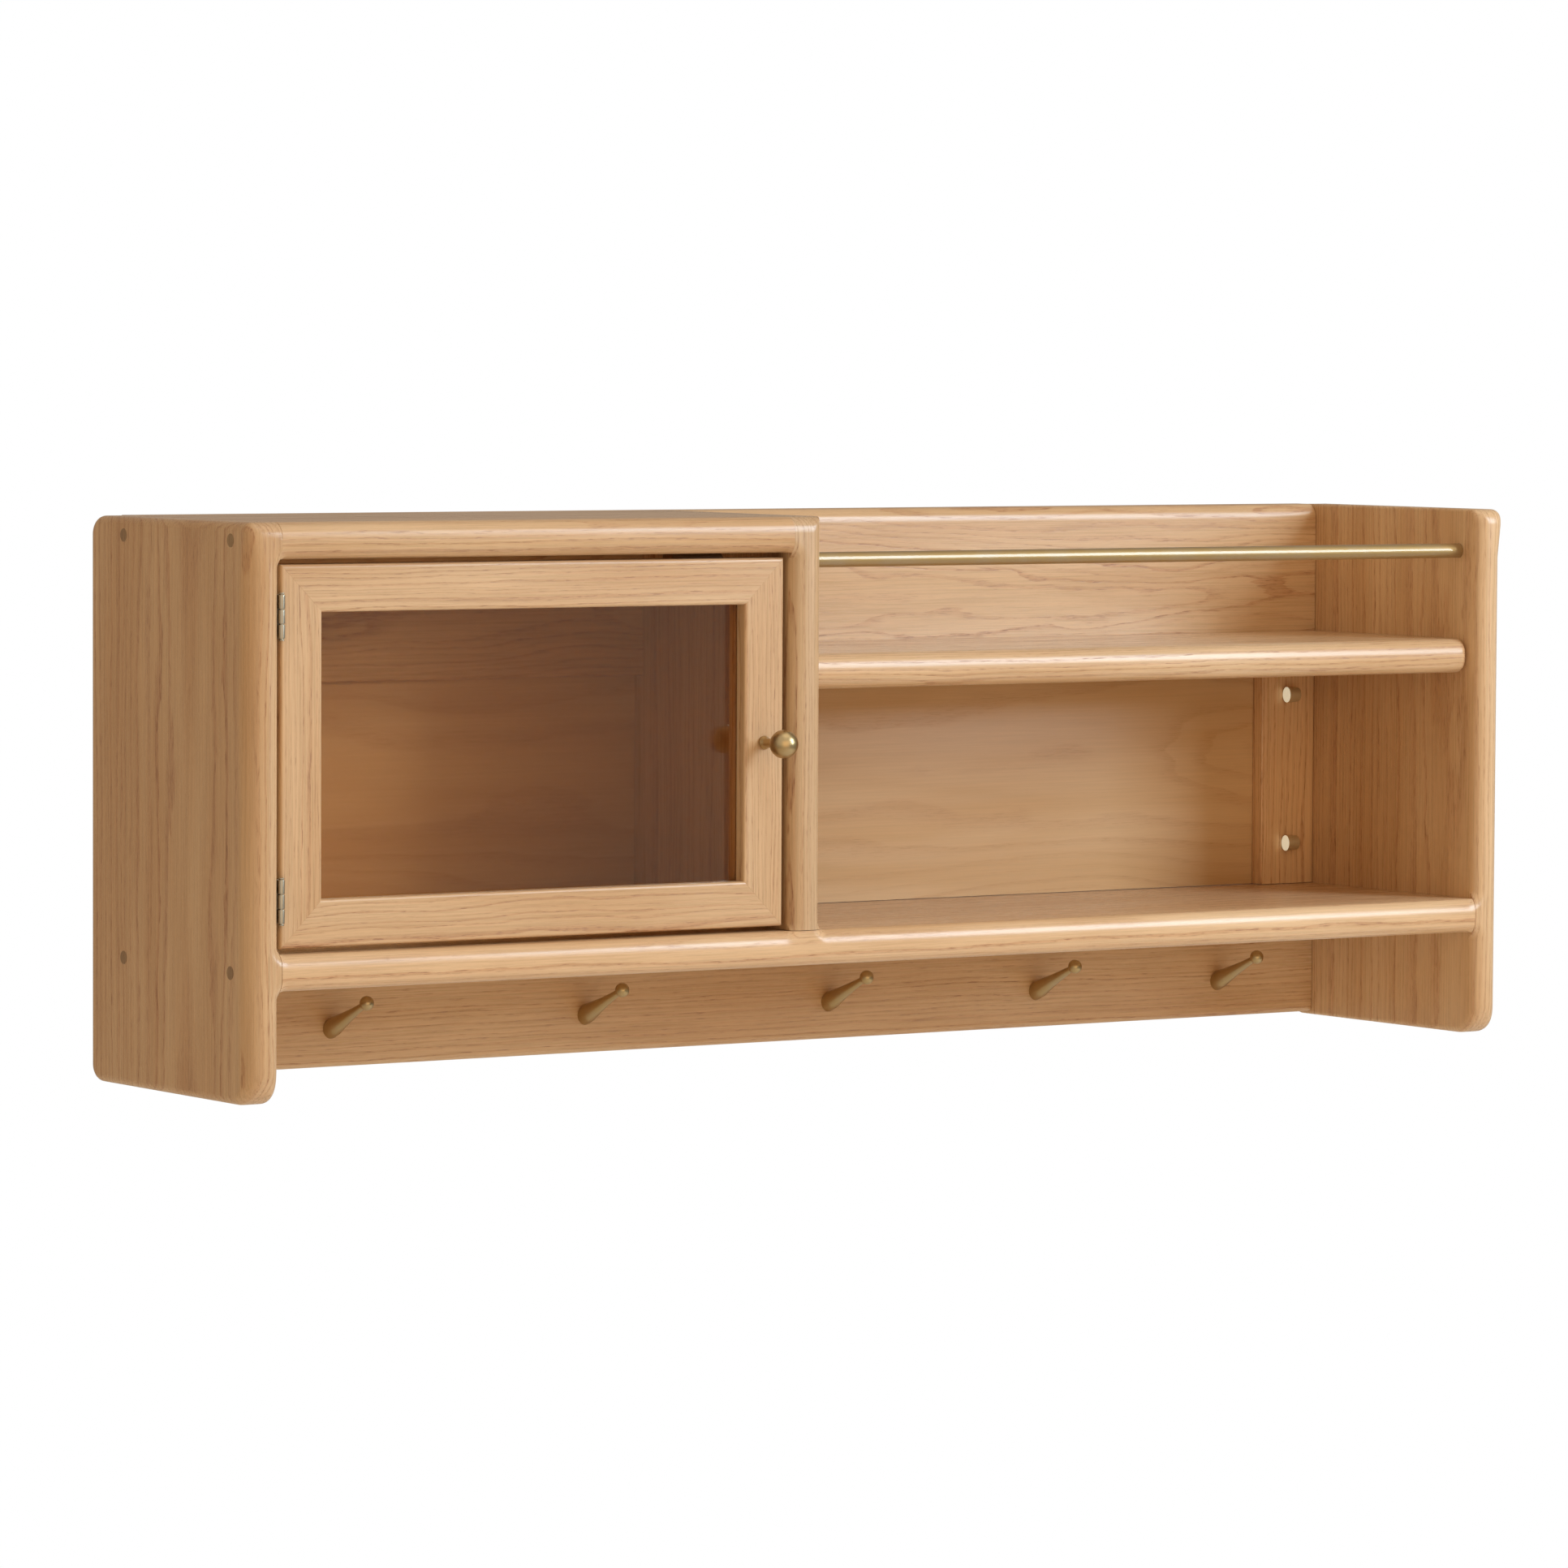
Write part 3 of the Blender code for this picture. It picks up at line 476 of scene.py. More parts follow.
def side_panel(name, outer_is_low, top_is_joined):
    """A side panel: its outline carried across the thickness, drawn in by the arrises.

    Going across, the outline is moved in by the outer arris, then by the inner arris or, up the
    front, by the routed openings. The outer face lies just inside its box, for the plugs.
    """
    low, high = box(name)
    inward = 1.0 if outer_is_low else -1.0
    outer_x, inner_x = (low[0], high[0]) if outer_is_low else (high[0], low[0])
    outer_x = outer_x + inward * PLUG_PROUD
    thickness = abs(inner_x - outer_x)
    stops = stations(low[2], high[2], (SHELF_LOW[2], SHELF_HIGH[2], TOP_LOW[2], high[2]))
    outline, normal, part = side_outline(low, high, SIDE_CORNERS, stops)
    frontness = np.clip(-normal[:, 0], 0.0, 1.0)
    # the outer front roundover tightens over 20 mm, from 30 mm under the top
    upper = np.clip((outline[:, 1] - (high[2] - 30 * MM)) / (20 * MM), 0.0, 1.0)
    outer_front = OUTER_R - (OUTER_R - UPPER_FRONT_R) * upper
    outer_r = OUTER_ARRIS + (outer_front - OUTER_ARRIS) * frontness**3
    low_r = LOW_INNER_ARRIS + (INNER_R - LOW_INNER_ARRIS) * frontness**3
    inner_r = np.where(part < 1, low_r, INNER_ARRIS)
    top_r = INNER_ARRIS + (INNER_R - INNER_ARRIS) * frontness
    if top_is_joined:
        top_r = GLUED_ARRIS
    inner_r = np.where(part >= 3, top_r, inner_r)
    is_front = part >= 4
    angle = quarter(10)
    rings = []
    for phi in angle:
        x = outer_r * (1 - np.cos(phi))
        rings.append((x, outer_r * (1 - np.sin(phi))))
    for phi in angle[::-1]:
        nominal = np.where(is_front, INNER_R, inner_r)
        x = thickness - nominal * (1 - np.cos(phi))
        drawn = nominal * (1 - np.sin(phi))
        at_front = routed(inner_x - inward * (thickness - x), outline[:, 1])
        rings.append((x, np.where(is_front, at_front, drawn)))
    flat_start = 0.5 * MM
    rings.insert(0, (np.zeros(len(outline)), rings[0][1] + flat_start))
    rings.append((np.full(len(outline), thickness), rings[-1][1] + flat_start))
    made = []
    for x, drawn in rings:
        flat = outline - normal * drawn[:, None]
        made.append(np.column_stack([outer_x + inward * x, flat]))
    return shell(made)


# ---- boards that run along X --------------------------------------------------------------
def front_rows(thickness, radius, steps=9):
    """Heights up a bullnose from its lower face: two quarter turns and the flat between them."""
    turn = radius * (1 - np.cos(quarter(steps)))
    return np.concatenate([turn, thickness - turn[::-1]])


BACK_EASE = 0.6 * MM


def long_board(xs, z0, z1, front_y, back_y):
    """A board along X whose section changes from place to place.

    front_y(x, z) gives its front edge over rows of heights. Behind, it runs back to two eased
    arrises. The section goes up the front, back over the top, down and forward again.
    """
    rows = z0 + front_rows(z1 - z0, EDGE_R)
    x, z = np.meshgrid(xs, rows, indexing="ij")
    front = np.stack([x, front_y(x, z), z], axis=-1)
    back = []
    turn = quarter(3)
    for y, height in (
        [(front[:, -1, 1] + SUPPORT, z1)]
        + [(back_y - BACK_EASE * (1 - np.sin(a)), z1 - BACK_EASE * (1 - np.cos(a))) for a in turn]
        + [(back_y - BACK_EASE * (1 - np.cos(a)), z0 + BACK_EASE * (1 - np.sin(a))) for a in turn]
        + [(front[:, 0, 1] + SUPPORT, z0)]
    ):
        column = np.column_stack([xs, np.broadcast_to(y, xs.shape), np.full(len(xs), height)])
        back.append(column[:, None, :])
    return shell(np.concatenate([front, *back], axis=1))


def routed_front(x, z):
    return FRONT + routed(x, z)


def shelves_and_top():
    """The two boards whose fronts are routed, and the upper shelf, whose free end is eased."""
    xs = stations(SHELF_LOW[0] + JOINT, SHELF_HIGH[0] - JOINT,
                  (LEFT_HIGH[0], DIVIDER_LOW[0], DIVIDER_HIGH[0], RIGHT_LOW[0]))
    surface = long_board(xs, SHELF_LOW[2], SHELF_HIGH[2], routed_front, SHELF_HIGH[1])
    put("bottom_shelf", surface, OAK, grain=cut(0, 1, (-260, 90), 1.09, 0.1))
    xs = stations(LEFT_HIGH[0] + JOINT, DIVIDER_LOW[0] - JOINT, (LEFT_HIGH[0], DIVIDER_LOW[0]))
    surface = long_board(xs, TOP_LOW[2], TOP_HIGH[2], routed_front, TOP_HIGH[1])
    put("top_panel", surface, OAK, grain=cut(0, 1, (-150, 60), 0.98, 0.3))

    low, high = box("upper_shelf")
    eased = 5 * MM
    xs = stations(low[0] + JOINT, high[0] - JOINT, (high[0],), fine=0.4 * MM, reach=6 * MM)

    def eased_front(x, z):
        bullnose = np.maximum(roundover(z - low[2], EDGE_R), roundover(high[2] - z, EDGE_R))
        return low[1] + bullnose + roundover(high[0] - x, eased)

    surface = long_board(xs, low[2], high[2], eased_front, high[1])
    put("upper_shelf", surface, OAK, grain=cut(0, 1, (-120, -70), 1.03, 0.1))


def back_rails():
    """The back top rail and the peg rail, each with one edge rounded and one eased."""
    low, high = box("back_top_rail")
    xs = np.linspace(low[0] + JOINT, high[0] - JOINT, 8)
    rounded, eased = 8 * MM, 0.6 * MM

    def rail_front(x, z):
        return low[1] + roundover(high[2] - z, rounded) + roundover(z - low[2], eased)

    surface = long_board(xs, low[2], high[2], rail_front, high[1])
    put("back_top_rail", surface, OAK, grain=cut(0, 2, (-8, 30), 1.0, 0.2, 1.0, 2.8))
    low, high = box("peg_rail")
    rounded = 3 * MM

    def peg_front(x, z):
        return low[1] + roundover(z - low[2], rounded) + roundover(high[2] - z, eased)

    surface = long_board(xs, low[2], high[2], peg_front, high[1])
    put("peg_rail", surface, OAK, grain=cut(0, 2, (90, 60), 0.92, 0.45))


# ---- divider ------------------------------------------------------------------------------
def divider():
    """An upright board: its section across, the routed front and two square backs, at each
    height. It stops at the back rail's face, and runs on to the plywood below it."""
    low, high = DIVIDER_LOW, DIVIDER_HIGH
    rail_low = box("back_top_rail")[0]
    zs = stations(low[2] + JOINT, high[2], (low[2], TOP_LOW[2], high[2]))
    top = high[2] - EDGE_R * (1 - np.cos(quarter(10)))
    gap = 0.3 * MM
    notch = rail_low[2] - gap
    zs = np.unique(np.round(np.concatenate([zs[zs < top.min()], top, [notch, notch + 1e-5]]), 6))
    across = low[0] + front_rows(high[0] - low[0], INNER_R)
    z, x = np.meshgrid(zs, across, indexing="ij")
    front = np.stack([x, FRONT + routed(x, z), z], axis=-1)
    back_y = np.where(zs > notch, rail_low[1] - gap, high[1])
    sides = []
    for x_at, y_at in (
        (high[0], front[:, -1, 1] + SUPPORT),
        (high[0], back_y),
        (low[0], back_y),
        (low[0], front[:, 0, 1] + SUPPORT),
    ):
        sides.append(np.column_stack([np.full(len(zs), x_at), y_at, zs])[:, None, :])
    surface = shell(np.concatenate([front, *sides], axis=1))
    put("divider_panel", surface, OAK, grain=cut(2, 1, (-40, 120), 0.88, 0.2))


# ---- square pieces with eased arrises -----------------------------------------------------
def eased_block(low, high, ease, end=None, steps=3):
    """A block with every arris rounded.

    Rings of a rounded rectangle are drawn in by e(1 - sin a) at a depth of e(1 - cos a) from
    each end, with one more ring just inside each flat end. The ends can have their own e.
    """
    x0, y0, z0 = low
    x1, y1, z1 = high
    ease = min(ease, 0.45 * min(high[0] - low[0], high[1] - low[1], high[2] - low[2]))
    turn = quarter(steps)
    rings = []
    end = ease if end is None else end
    ends = [(end * (1 - math.sin(a)), end * (1 - math.cos(a))) for a in turn]
    ends.insert(0, (ease + 0.6 * end, 0.0))
    levels = [(inset, z0 + depth) for inset, depth in ends]
    levels += [(inset, z1 - depth) for inset, depth in ends[::-1]]
    corners = ((x1, y1, 0.0), (x0, y1, 0.5), (x0, y0, 1.0), (x1, y0, 1.5))
    for inset, z in levels:
        ring = []
        for x, y, start in corners:
            angle = start * math.pi + turn
            centre = max(ease, inset)
            radius = max(ease - inset, 0.0)
            sx, sy = (1 if x == x1 else -1), (1 if y == y1 else -1)
            across = x - sx * centre + radius * np.cos(angle)
            back = y - sy * centre + radius * np.sin(angle)
            ring.append(np.column_stack([across, back, np.full(len(angle), z)]))
        rings.append(np.concatenate(ring))
    return shell(rings)


def plain_boards():
    """The back stiles and the plywood panels."""
    for side, tone, warmth in (("left", 1.0, 0.3), ("right", 1.15, 0.3)):
        low, high = box(f"back_{side}_stile")
        surface = eased_block(low, high, 0.8 * MM, JOINT)
        board = cut(2, 0, (60, 90), tone, warmth, 0.8)
        put(f"back_{side}_stile", surface, OAK, grain=board)
        low, high = box(f"back_panel_{side}")
        surface = eased_block(low, high, 0.3 * MM, JOINT)
        board = cut(0, 2, (20, 60), 1.04, 0.2)
        put(f"back_panel_{side}", surface, PLYWOOD, grain=board)


# ---- door ---------------------------------------------------------------------------------
def door_section():
    """Section of a door frame member as (in from the door's edge, back from its face).

    A flat face between two rounded arrises, with a rebate for the pane behind its inner lip.
    """
    r, width, thick = 1.8 * MM, 27 * MM, 20 * MM
    step, lip = 20 * MM, 8.7 * MM
    turn = quarter(5)
    outer = np.column_stack([r * (1 - np.cos(turn)), r * (1 - np.sin(turn))])
    inner = np.column_stack([width - r * (1 - np.cos(turn[::-1])), r * (1 - np.sin(turn[::-1]))])
    flat = np.array([[r + SUPPORT, 0], [width - r - SUPPORT, 0]])
    back = [[width, r + SUPPORT], [width, lip], [step, lip], [step, thick], [SUPPORT, thick]]
    back += [[0, thick - SUPPORT], [0, r + SUPPORT]]
    return np.concatenate([outer, flat, inner, back])


def door_frame():
    """Four members mitred at 45 degrees: each point of the section runs from its own distance in
    from the door's edge to the length less that distance."""
    section = door_section()
    x0, x1 = box("door_hinge_stile")[0][0], box("door_lock_stile")[1][0]
    z0, z1 = box("door_bottom_rail")[0][2], box("door_top_rail")[1][2]
    face = box("door_bottom_rail")[0][1]
    inward, depth = section[:, 0], face + section[:, 1]
    low_run, high_x, high_z = inward + JOINT, x1 - inward - JOINT, z1 - inward - JOINT
    members = (
        ("door_bottom_rail", lambda end: (np.where(end, high_x, x0 + low_run), z0 + inward),
         cut(0, 2, (-34, -40), 1.0, 0.1, 1.0, 1.8)),
        ("door_top_rail", lambda end: (np.where(end, high_x, x0 + low_run), z1 - inward),
         cut(0, 2, (75, 20), 1.0, 0.1, 0.9, 1.5)),
        ("door_hinge_stile", lambda end: (x0 + inward, np.where(end, high_z, z0 + low_run)),
         cut(2, 0, (85, 25), 1.0, 0.1, 0.9, 1.5)),
        ("door_lock_stile", lambda end: (x1 - inward, np.where(end, high_z, z0 + low_run)),
         cut(2, 0, (-90, 30), 1.0, 0.15, 0.9, 1.5)),
    )
    for name, run, board in members:
        rings = []
        for end in (False, True):
            x, z = run(end)
            rings.append(np.column_stack([x, depth, z]))
        put(name, shell(rings), OAK, "door", grain=board)
    for where, along in (("bottom", 0), ("top", 0), ("hinge_side", 2), ("lock_side", 2)):
        name = f"glass_bead_{where}"
        surface = eased_block(*box(name), 1.2 * MM)
        across = 2 if along == 0 else 0
        put(name, surface, OAK, "door", grain=cut(along, across, (70, 30), 0.98, 0.2))


# ---- turned pieces ------------------------------------------------------------------------
def turned(profile, origin, axis, steps=48):
    """A profile of (radius, distance along) spun round an axis direction from an origin."""
    axis = np.asarray(axis, float) / np.linalg.norm(axis)
    helper = np.array([0.0, 0.0, 1.0]) if abs(axis[2]) < 0.9 else np.array([1.0, 0.0, 0.0])
    side = np.cross(axis, helper)
    side /= np.linalg.norm(side)
    other = np.cross(axis, side)
    angle = np.linspace(0, math.tau, steps, endpoint=False)
    spoke = np.cos(angle)[:, None] * side + np.sin(angle)[:, None] * other
    profile = np.asarray(profile, float)
    rings = np.asarray(origin) + profile[:, 1][:, None, None] * axis
    rings = rings + profile[:, 0][:, None, None] * spoke[None, :, :]
    return shell(rings)


def rod(radius, length, origin, axis, steps=48):
    """A plain cylinder."""
    profile = [(0, 0), (radius, 0), (radius, length), (0, length)]
    return turned(profile, origin, axis, steps)


def fillet(start, corner, end, radius, steps=5):
    """Points that round the corner between two straight runs of a profile."""
    start, corner, end = (np.asarray(p, float) for p in (start, corner, end))
    into = (start - corner) / np.linalg.norm(start - corner)
    out = (end - corner) / np.linalg.norm(end - corner)
    half = math.acos(np.clip(into @ out, -1, 1)) / 2
    reach = radius / math.tan(half)
    t = np.linspace(0, 1, steps + 1)[:, None]
    a, b = corner + into * reach, corner + out * reach
    return (1 - t) ** 2 * a + 2 * t * (1 - t) * corner + t**2 * b


def rounded_profile(points, radius):
    """A profile with each inner corner rounded."""
    points = np.asarray(points, float)
    made = [points[:1]]
    for before, corner, after in zip(points, points[1:], points[2:]):
        room = 0.45 * min(np.linalg.norm(corner - before), np.linalg.norm(after - corner))
        made.append(fillet(before, corner, after, min(radius, room)))
    made.append(points[-1:])
    return np.concatenate(made)


def knob():
    """A ball on a short flared stem: a quarter-round foot, the stem, then the ball's circle."""
    low, high = box("door_knob")
    ball = (high[0] - low[0]) / 2
    centre = (low + high) / 2
    face = high[1]
    reach = face - low[1] - ball
    neck = 2.9 * MM
    foot = [(0.0, 0.0), (4.0 * MM, 0.0), (4.0 * MM, 0.9 * MM), (neck, 3.0 * MM)]
    first = math.asin(neck / ball)
    angle = np.linspace(first, math.pi, 30)
    circle = np.column_stack([ball * np.sin(angle), reach - ball * np.cos(angle)])
    waist, top = (2.7 * MM, 8 * MM), (neck, reach - ball * math.cos(first))
    stem = rounded_profile([*foot, waist, top], 0.6 * MM)
    circle[-1, 0] = 0.0
    profile = np.concatenate([stem, circle])
    origin = (centre[0], face, centre[2])
    surface = turned(profile, origin, (0, -1, 0), 64)
    put("door_knob", surface, BRASS, "door", crease=50)
    low, high = box("knob_screw")
    centre = (low + high) / 2
    length, shank = high[1] - low[1], 1.9 * MM
    profile = rounded_profile(
        [(0, 0), (2.4 * MM, 0), (3.8 * MM, 1.2 * MM), (3.8 * MM, 2.2 * MM), (shank, 2.4 * MM),
         (shank, length), (0, length)], 0.4 * MM)
    surface = turned(profile, (centre[0], high[1], centre[2]), (0, -1, 0), 32)
    put("knob_screw", surface, NICKEL, "door")


def key_pegs():
    """Each peg is cut off in the rail's face. Going up it, the radius eases from base to neck,
    then follows the ball tip's circle. A short stud runs on into the rail."""
    ball, base, neck = 4.3 * MM, 5.6 * MM, 1.95 * MM
    stud_r, stud_length = 2.1 * MM, 11.5 * MM
    reach, rise = 41 * MM, 18 * MM
    rail = box("peg_rail")[0][1]
    axis = np.array([0.0, -reach, rise])
    length = np.linalg.norm(axis)
    axis /= length
    side = np.array([1.0, 0.0, 0.0])
    other = np.cross(axis, side)
    angle = np.linspace(0, math.tau, 48, endpoint=False)
    spoke = np.cos(angle)[:, None] * side + np.sin(angle)[:, None] * other
    waist = length - math.sqrt(ball**2 - neck**2)
    along = np.linspace(4 * MM, waist, 24)
    t = (along - along[0]) / (waist - along[0])
    radius = base + (neck - base) * t * (1.45 - 0.45 * t)
    tip = np.linspace(math.asin(neck / ball), math.pi, 22)[1:]
    along = np.append(along, length - ball * np.cos(tip))
    radius = np.append(radius, ball * np.sin(tip))
    radius[-1] = 0.0
    for number in range(1, 6):
        name = f"key_peg_{number}"
        low, high = box(name)
        foot = np.array([(low[0] + high[0]) / 2, rail - 0.05 * MM, high[2] - ball - rise])
        cut_ring = foot + base * spoke - (base * spoke[:, 1] / axis[1])[:, None] * axis
        inner = foot + (cut_ring - foot) * 0.2
        rings = [inner, cut_ring]
        rings += [foot + s * axis + r * spoke for s, r in zip(along, radius)]
        stud = rod(stud_r, stud_length, foot, (0, 1, 0), 24)
        put(name, joined(shell(rings), stud), BRASS, crease=50)


CAP_HALF_DEPTH = 4 * MM


def rod_and_caps():
    """The guard rail rod, and the four wall-screw caps with their shanks."""
    low, high = box("guard_rail_rod")
    radius = (high[2] - low[2]) / 2
    centre = (low + high) / 2
    surface = rod(radius, high[0] - low[0], (low[0], centre[1], centre[2]), (1, 0, 0), 64)
    put("guard_rail_rod", surface, DRAWN_BRASS)
    shank = 2.5 * MM
    for side in ("left", "right"):
        for level in ("upper", "lower"):
            name = f"{level}_{side}_wall_screw"
            low, high = box(name)
            centre = (low + high) / 2
            centre_y = low[1] + CAP_HALF_DEPTH
            ends = (low[0], high[0]) if side == "right" else (high[0], low[0])
            cap = wall_cap(ends, centre_y, centre[2], (high[2] - low[2]) / 2)
            origin = (centre[0], centre_y, centre[2])
            stud = rod(shank, high[1] - centre_y, origin, (0, 1, 0), 24)
            put(name, joined(cap, stud), CHAMPAGNE)


def wall_cap(ends, y, z, radius):
    """A short barrel lying along X from its pale end to its dark one.

    Rings of an ellipse are drawn in by e(1 - sin a) at a depth of e(1 - cos a) from each end,
    and the dark end is a tenth smaller.
    """
    length, turn = ends[1] - ends[0], quarter(6)
    angle = np.linspace(0, math.tau, 48, endpoint=False)
    pale_ease, dark_ease, dark_size = 0.5 * MM, 1.4 * MM, 0.9
    rings = []
    for start, sign, ease, size in (
        (ends[0], 1, pale_ease, 1.0),
        (ends[1], -1, dark_ease, dark_size),
    ):
        some = []
        for a in turn:
            x = start + sign * math.copysign(ease * (1 - math.cos(a)), length)
            shrink = size - ease * (1 - math.sin(a)) / radius
            across = y + CAP_HALF_DEPTH * shrink * np.cos(angle)
            up = z + radius * shrink * np.sin(angle)
            some.append(np.column_stack([np.full(len(angle), x), across, up]))
        rings += some if sign > 0 else some[::-1]
    return shell(rings)


def plugs():
    """A plug is a disc with an eased rim, standing just proud of its panel."""
    for side in ("left", "right"):
        outward = -1.0 if side == "left" else 1.0
        for level in ("top", "shelf"):
            for place in ("front", "back"):
                name = f"{side}_{level}_{place}_plug"
                low, high = box(name)
                centre = (low + high) / 2
                radius = (high[1] - low[1]) / 2
                start = high[0] if side == "left" else low[0]
                length = high[0] - low[0]
                profile = rounded_profile(
                    [(0, 0), (radius, 0), (radius, length - 0.15 * MM),
                     (radius - 0.25 * MM, length), (0, length)], 0.05 * MM)
                surface = turned(profile, (start, centre[1], centre[2]), (outward, 0, 0), 32)
                put(name, surface, PLUG, grain=cut(2, 1, (20, 12)))


# ---- hinges and catch ---------------------------------------------------------------------
def hinges():
    """Butt hinges: a leaf plate each side and rolled knuckles on one pin.

    The frame leaf has the outer two of the three knuckles, and the door leaf the middle one.
    The knuckles are drawn solid, and the pin runs on inside them.
    """
    thick, barrel, end_r, play, gap = 0.8 * MM, 1.95 * MM, 1.15 * MM, 0.25 * MM, 0.3 * MM
    frame_x = LEFT_HIGH[0] + gap
    door_x = box("door_hinge_stile")[0][0] - gap - thick
    for level in ("upper", "lower"):
        pin_low, pin_high = box(f"{level}_hinge_pin")
        axis_x, axis_y = (pin_low[0] + pin_high[0]) / 2, (pin_low[1] + pin_high[1]) / 2
        z0, z1 = pin_low[2] + 1.0 * MM, pin_high[2] - 3.0 * MM
        third = (z1 - z0) / 3
        plate_front = axis_y + 2.6 * MM
        for leaf, body, plate_x, spans in (
            ("frame", "cabinet", frame_x, ((z0, z0 + third), (z1 - third, z1))),
            ("door", "door", door_x, ((z0 + third, z1 - third),)),
        ):
            name = f"{level}_hinge_{leaf}_leaf"
            plate_back = box(name)[1][1]
            low, high = (plate_x, plate_front, z0), (plate_x + thick, plate_back, z1)
            parts = [eased_block(low, high, 0.2 * MM)]
            for start, stop in spans:
                start, stop = start + play, stop - play
                length = stop - start
                profile = rounded_profile(
                    [(end_r, 0), (barrel, 0), (barrel, length), (end_r, length)], 0.25 * MM)
                parts.append(turned(profile, (axis_x, axis_y, start), (0, 0, 1), 32))
                low = (plate_x, axis_y + 1.2 * MM, start)
                high = (plate_x + thick, plate_front + 0.1 * MM, stop)
                parts.append(eased_block(low, high, 0.1 * MM))
            put(name, joined(*parts), NICKEL, body)
        length = pin_high[2] - pin_low[2] - 2.0 * MM
        head, head_r, pin_r = 0.7 * MM, 1.6 * MM, 1.1 * MM
        profile = rounded_profile(
            [(0, 0), (head_r, 0), (head_r, head), (pin_r, head), (pin_r, length - head),
             (head_r, length - head), (head_r, length), (0, length)], 0.3 * MM)
        surface = turned(profile, (axis_x, axis_y, pin_low[2]), (0, 0, 1), 32)
        put(f"{level}_hinge_pin", surface, NICKEL)
        hinge_screws(level)


def hinge_screws(level):
    """Countersunk screws, seen by their heads in the leaves."""
    for leaf, body in (("frame", "cabinet"), ("door", "door")):
        for place in ("low", "high"):
            name = f"{level}_hinge_{leaf}_screw_{place}"
            low, high = box(name)
            centre = (low + high) / 2
            head, direction = (high[0], -1) if leaf == "frame" else (low[0], 1)
            length, shank = high[0] - low[0], 0.9 * MM
            profile = rounded_profile(
                [(0, 0.15 * MM), (1.1 * MM, 0), (1.6 * MM, 0.1 * MM), (shank, 0.8 * MM),
                 (shank, length), (0, length)], 0.15 * MM)
            surface = turned(profile, (head, centre[1], centre[2]), (direction, 0, 0), 24)
            put(name, surface, NICKEL, body)


def catch():
    """The magnetic catch over the door, its magnet, and the strike plate on the door."""
    for name, ease, material, slot, body in (
        ("magnet_catch_body", 3.0 * MM, PLASTIC, "brown_plastic", "cabinet"),
        ("catch_magnet", 0.3 * MM, NICKEL, "nickel_steel", "cabinet"),
        ("strike_plate", 0.3 * MM, NICKEL, "nickel_steel", "door"),
    ):
        put(name, eased_block(*box(name), ease), material, body)


for side, joined_top, board in (
    ("left", True, cut(2, 1, (-26, 118), 0.97, 0.25, 1.15)),
    ("right", False, cut(2, 1, (-70, 130), 1.04, 0.25, 1.1)),
):
    name = f"{side}_side_panel"
    put(name, side_panel(name, side == "left", joined_top), OAK, grain=board)
shelves_and_top()
back_rails()
divider()
plain_boards()
door_frame()
knob()
key_pegs()
rod_and_caps()
plugs()
hinges()
catch()
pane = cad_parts["door_glass"]
pane.data.materials.clear()
pane.data.materials.append(GLASS)


# ---- stage, light and camera --------------------------------------------------------------
def stage_floor():
    """A plain pale floor well below the hung cabinet."""
    steps, radius, height = 96, 3.2, -1.5
    angle = np.linspace(0, math.tau, steps, endpoint=False)
    around = radius * np.cos(angle), radius * np.sin(angle)
    points = np.column_stack([*around, np.full(steps, height)])
    mesh = bpy.data.meshes.new("floor")
    mesh.from_pydata(points.tolist(), [], [list(range(steps))])
    made, tree, shader = new_material("pale_painted_floor")
    shader.inputs["Base Color"].default_value = srgb("#F8F9FA")
    shader.inputs["Roughness"].default_value = 0.7
    # looked at, it is evenly lit; it still bounces the room's light up at the cabinet
    lit = add(tree, "ShaderNodeEmission", {"Color": srgb("#EFEFEE"), "Strength": 1.0})
    by_eye = add(tree, "ShaderNodeLightPath").outputs["Is Camera Ray"]
    inputs = {0: by_eye, 1: shader.outputs[0], 2: lit.outputs[0]}
    both = add(tree, "ShaderNodeMixShader", inputs)
    tree.links.new(both.outputs[0], tree.nodes["Material Output"].inputs["Surface"])
    mesh.materials.append(made)
    floor = bpy.data.objects.new("floor", mesh)
    bpy.context.scene.collection.objects.link(floor)


def softbox(name, toward, distance, size, watts, colour):
    """A rectangular area light that faces the cabinet from a direction."""
    lamp = bpy.data.lights.new(name, "AREA")
    lamp.shape = "RECTANGLE"
    lamp.size, lamp.size_y = size
    lamp.energy = watts
    lamp.color = srgb(colour)[:3]
    made = bpy.data.objects.new(name, lamp)
    bpy.context.scene.collection.objects.link(made)
    away = np.asarray(toward, float) / np.linalg.norm(toward)
    centre = np.array([0.0, -0.1, -0.1])  # near the cabinet's middle
    made.location = centre + away * distance
    x = np.cross([0.0, 0.0, 1.0], away)
    x /= np.linalg.norm(x)
    y = np.cross(away, x)
    matrix = np.column_stack([x, y, away])
    made.rotation_mode = "QUATERNION"
    made.rotation_quaternion = Matrix(matrix.tolist()).to_quaternion()


KEY, TOP, FLOOD, ROOM = 73.0, 8.0, 16.8, 0.48  # watts, watts, watts, and the world's strength


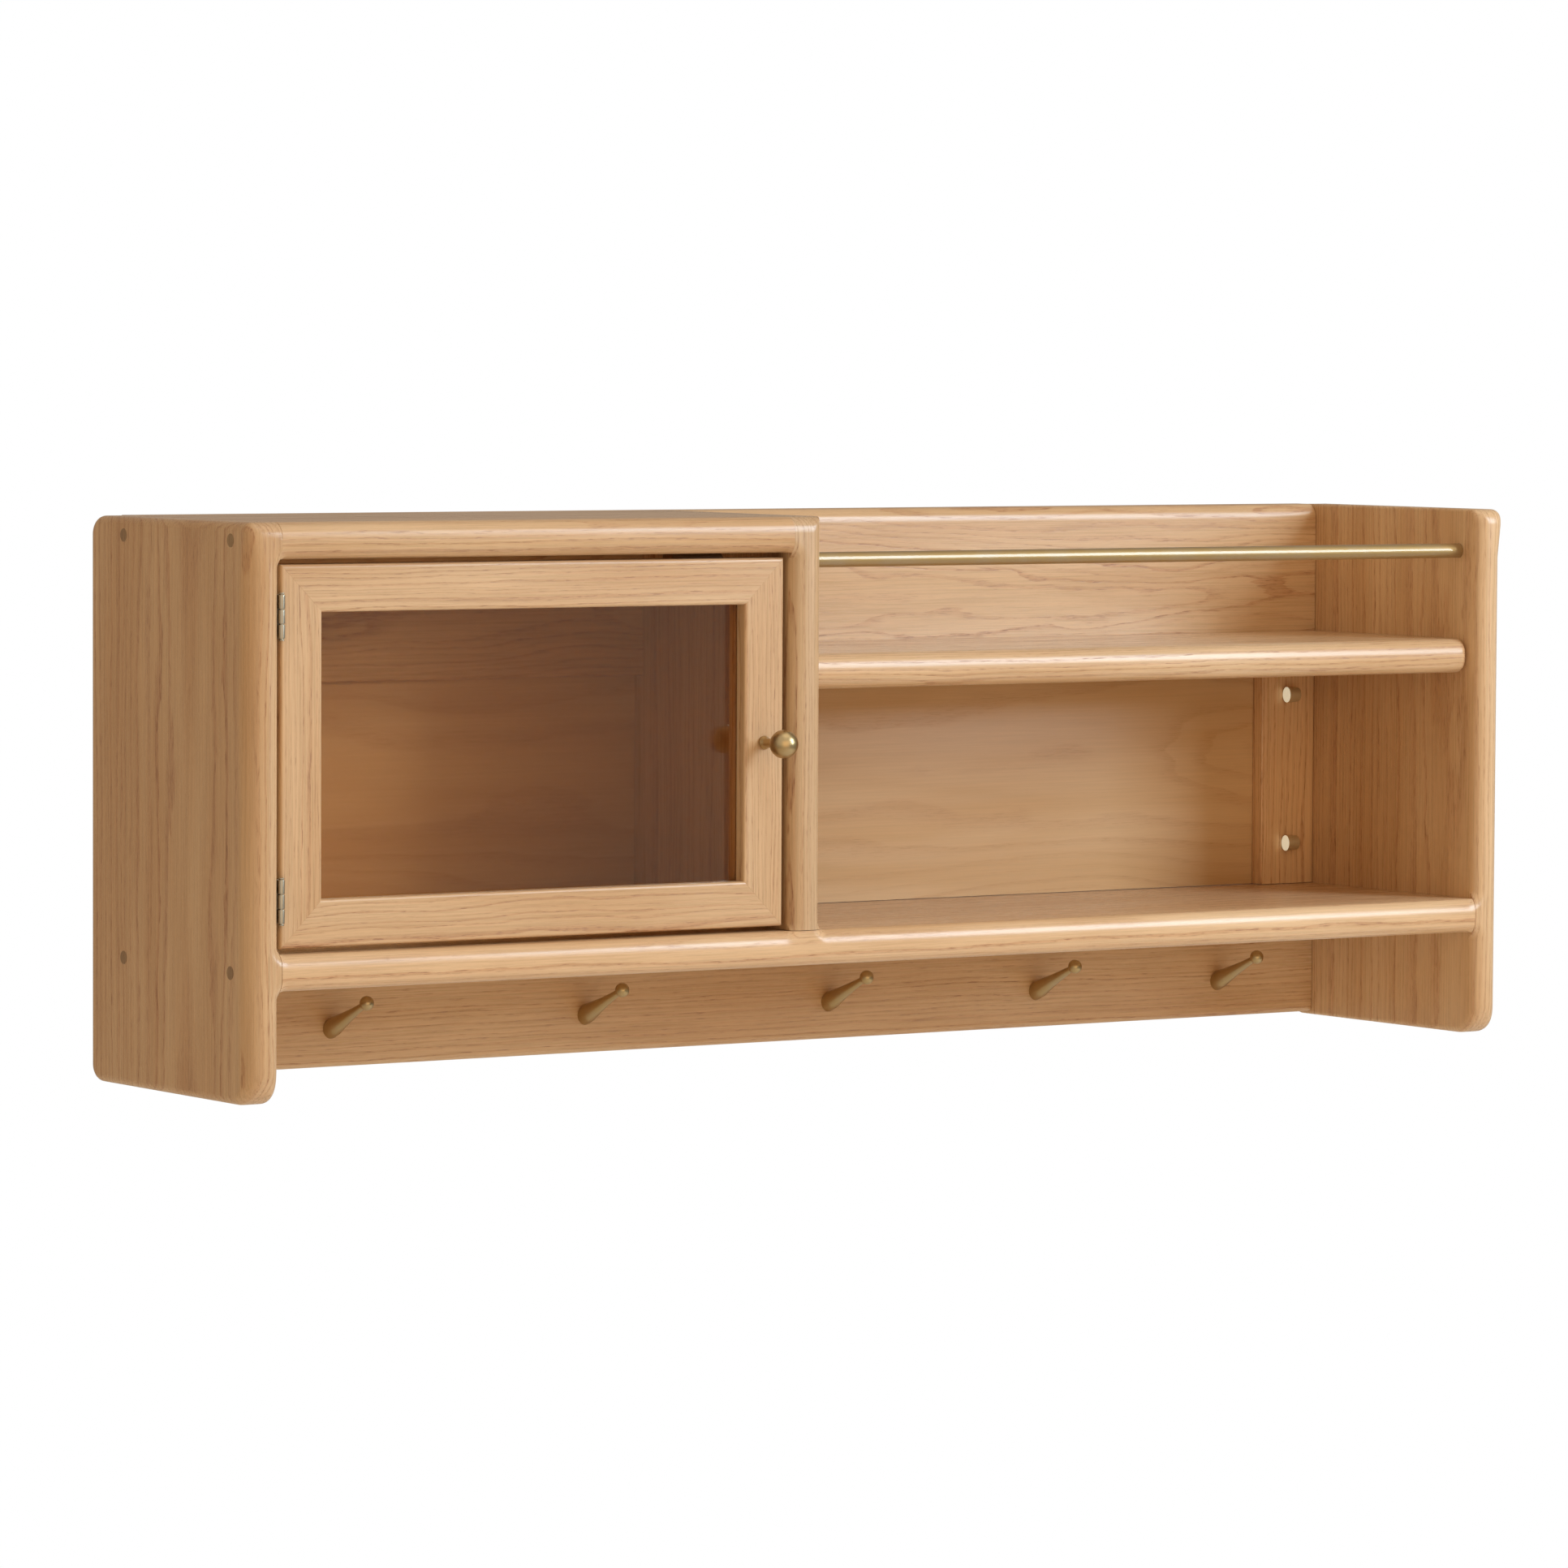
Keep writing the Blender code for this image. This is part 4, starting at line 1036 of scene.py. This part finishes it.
def studio():
    """A cool key from the front right, soft top and front lights and a warm room round them."""
    softbox("key", (0.61, -0.74, 0.37), 3.2, (0.9, 1.7), KEY, "#DDF0FF")
    softbox("top", (0.1, -0.35, 1.0), 2.6, (2.2, 1.6), TOP, "#FFF6EA")
    softbox("front", (-0.3, -1.0, 0.1), 3.0, (3.0, 2.4), FLOOD, "#FFD29C")
    world = bpy.data.worlds.new("room")
    world.use_nodes = True
    tree = world.node_tree
    tree.nodes.clear()
    seen = add(tree, "ShaderNodeBackground", {"Color": (1, 1, 1, 1), "Strength": 1.0})
    lights = add(tree, "ShaderNodeBackground", {"Color": srgb("#FFDFB8"), "Strength": ROOM})
    # polished pieces see a white room above and to the left, and less of the rest
    toward = add(tree, "ShaderNodeTexCoord").outputs["Generated"]
    inputs = {0: toward, 1: (-0.45, -0.55, 0.7)}
    lean = add(tree, "ShaderNodeVectorMath", inputs, operation="DOT_PRODUCT").outputs["Value"]
    bright = ramp(tree, lean, 0.15, 0.8, 0.3, 0.85)
    mirrored = add(tree, "ShaderNodeBackground", {"Color": srgb("#FFF8EE"), "Strength": bright})
    ray = add(tree, "ShaderNodeLightPath").outputs
    inputs = {0: ray["Is Glossy Ray"], 1: lights.outputs[0], 2: mirrored.outputs[0]}
    unseen = add(tree, "ShaderNodeMixShader", inputs)
    by_eye = maths(tree, "MAXIMUM", ray["Is Camera Ray"], ray["Is Transmission Ray"])
    inputs = {0: by_eye, 1: unseen.outputs[0], 2: seen.outputs[0]}
    both = add(tree, "ShaderNodeMixShader", inputs)
    out = add(tree, "ShaderNodeOutputWorld")
    tree.links.new(both.outputs[0], out.inputs["Surface"])
    bpy.context.scene.world = world


def camera():
    """A long lens from the left, a little above the cabinet, turned by yaw, pitch and roll."""
    yaw, pitch, roll = (math.radians(d) for d in (33.7735, -3.3755, 0.2933))
    level = np.array([math.sin(yaw), math.cos(yaw), 0.0])
    ahead = level * math.cos(pitch) + np.array([0.0, 0.0, math.sin(pitch)])
    right = np.array([math.cos(yaw), -math.sin(yaw), 0.0])
    up = np.cross(right, ahead)
    tilted = right * math.cos(roll) + up * math.sin(roll)
    upright = -right * math.sin(roll) + up * math.cos(roll)
    data = bpy.data.cameras.new("camera")
    data.sensor_width = 36.0
    data.lens = 172.287
    data.clip_start, data.clip_end = 0.1, 60.0
    made = bpy.data.objects.new("camera", data)
    made.location = (-2.5273, -3.8299, 0.1518)
    made.rotation_mode = "QUATERNION"
    matrix = np.column_stack([tilted, upright, -ahead])
    made.rotation_quaternion = Matrix(matrix.tolist()).to_quaternion()
    bpy.context.scene.collection.objects.link(made)
    bpy.context.scene.camera = made


stage_floor()
studio()
camera()
bpy.context.scene.view_settings.view_transform = "Standard"
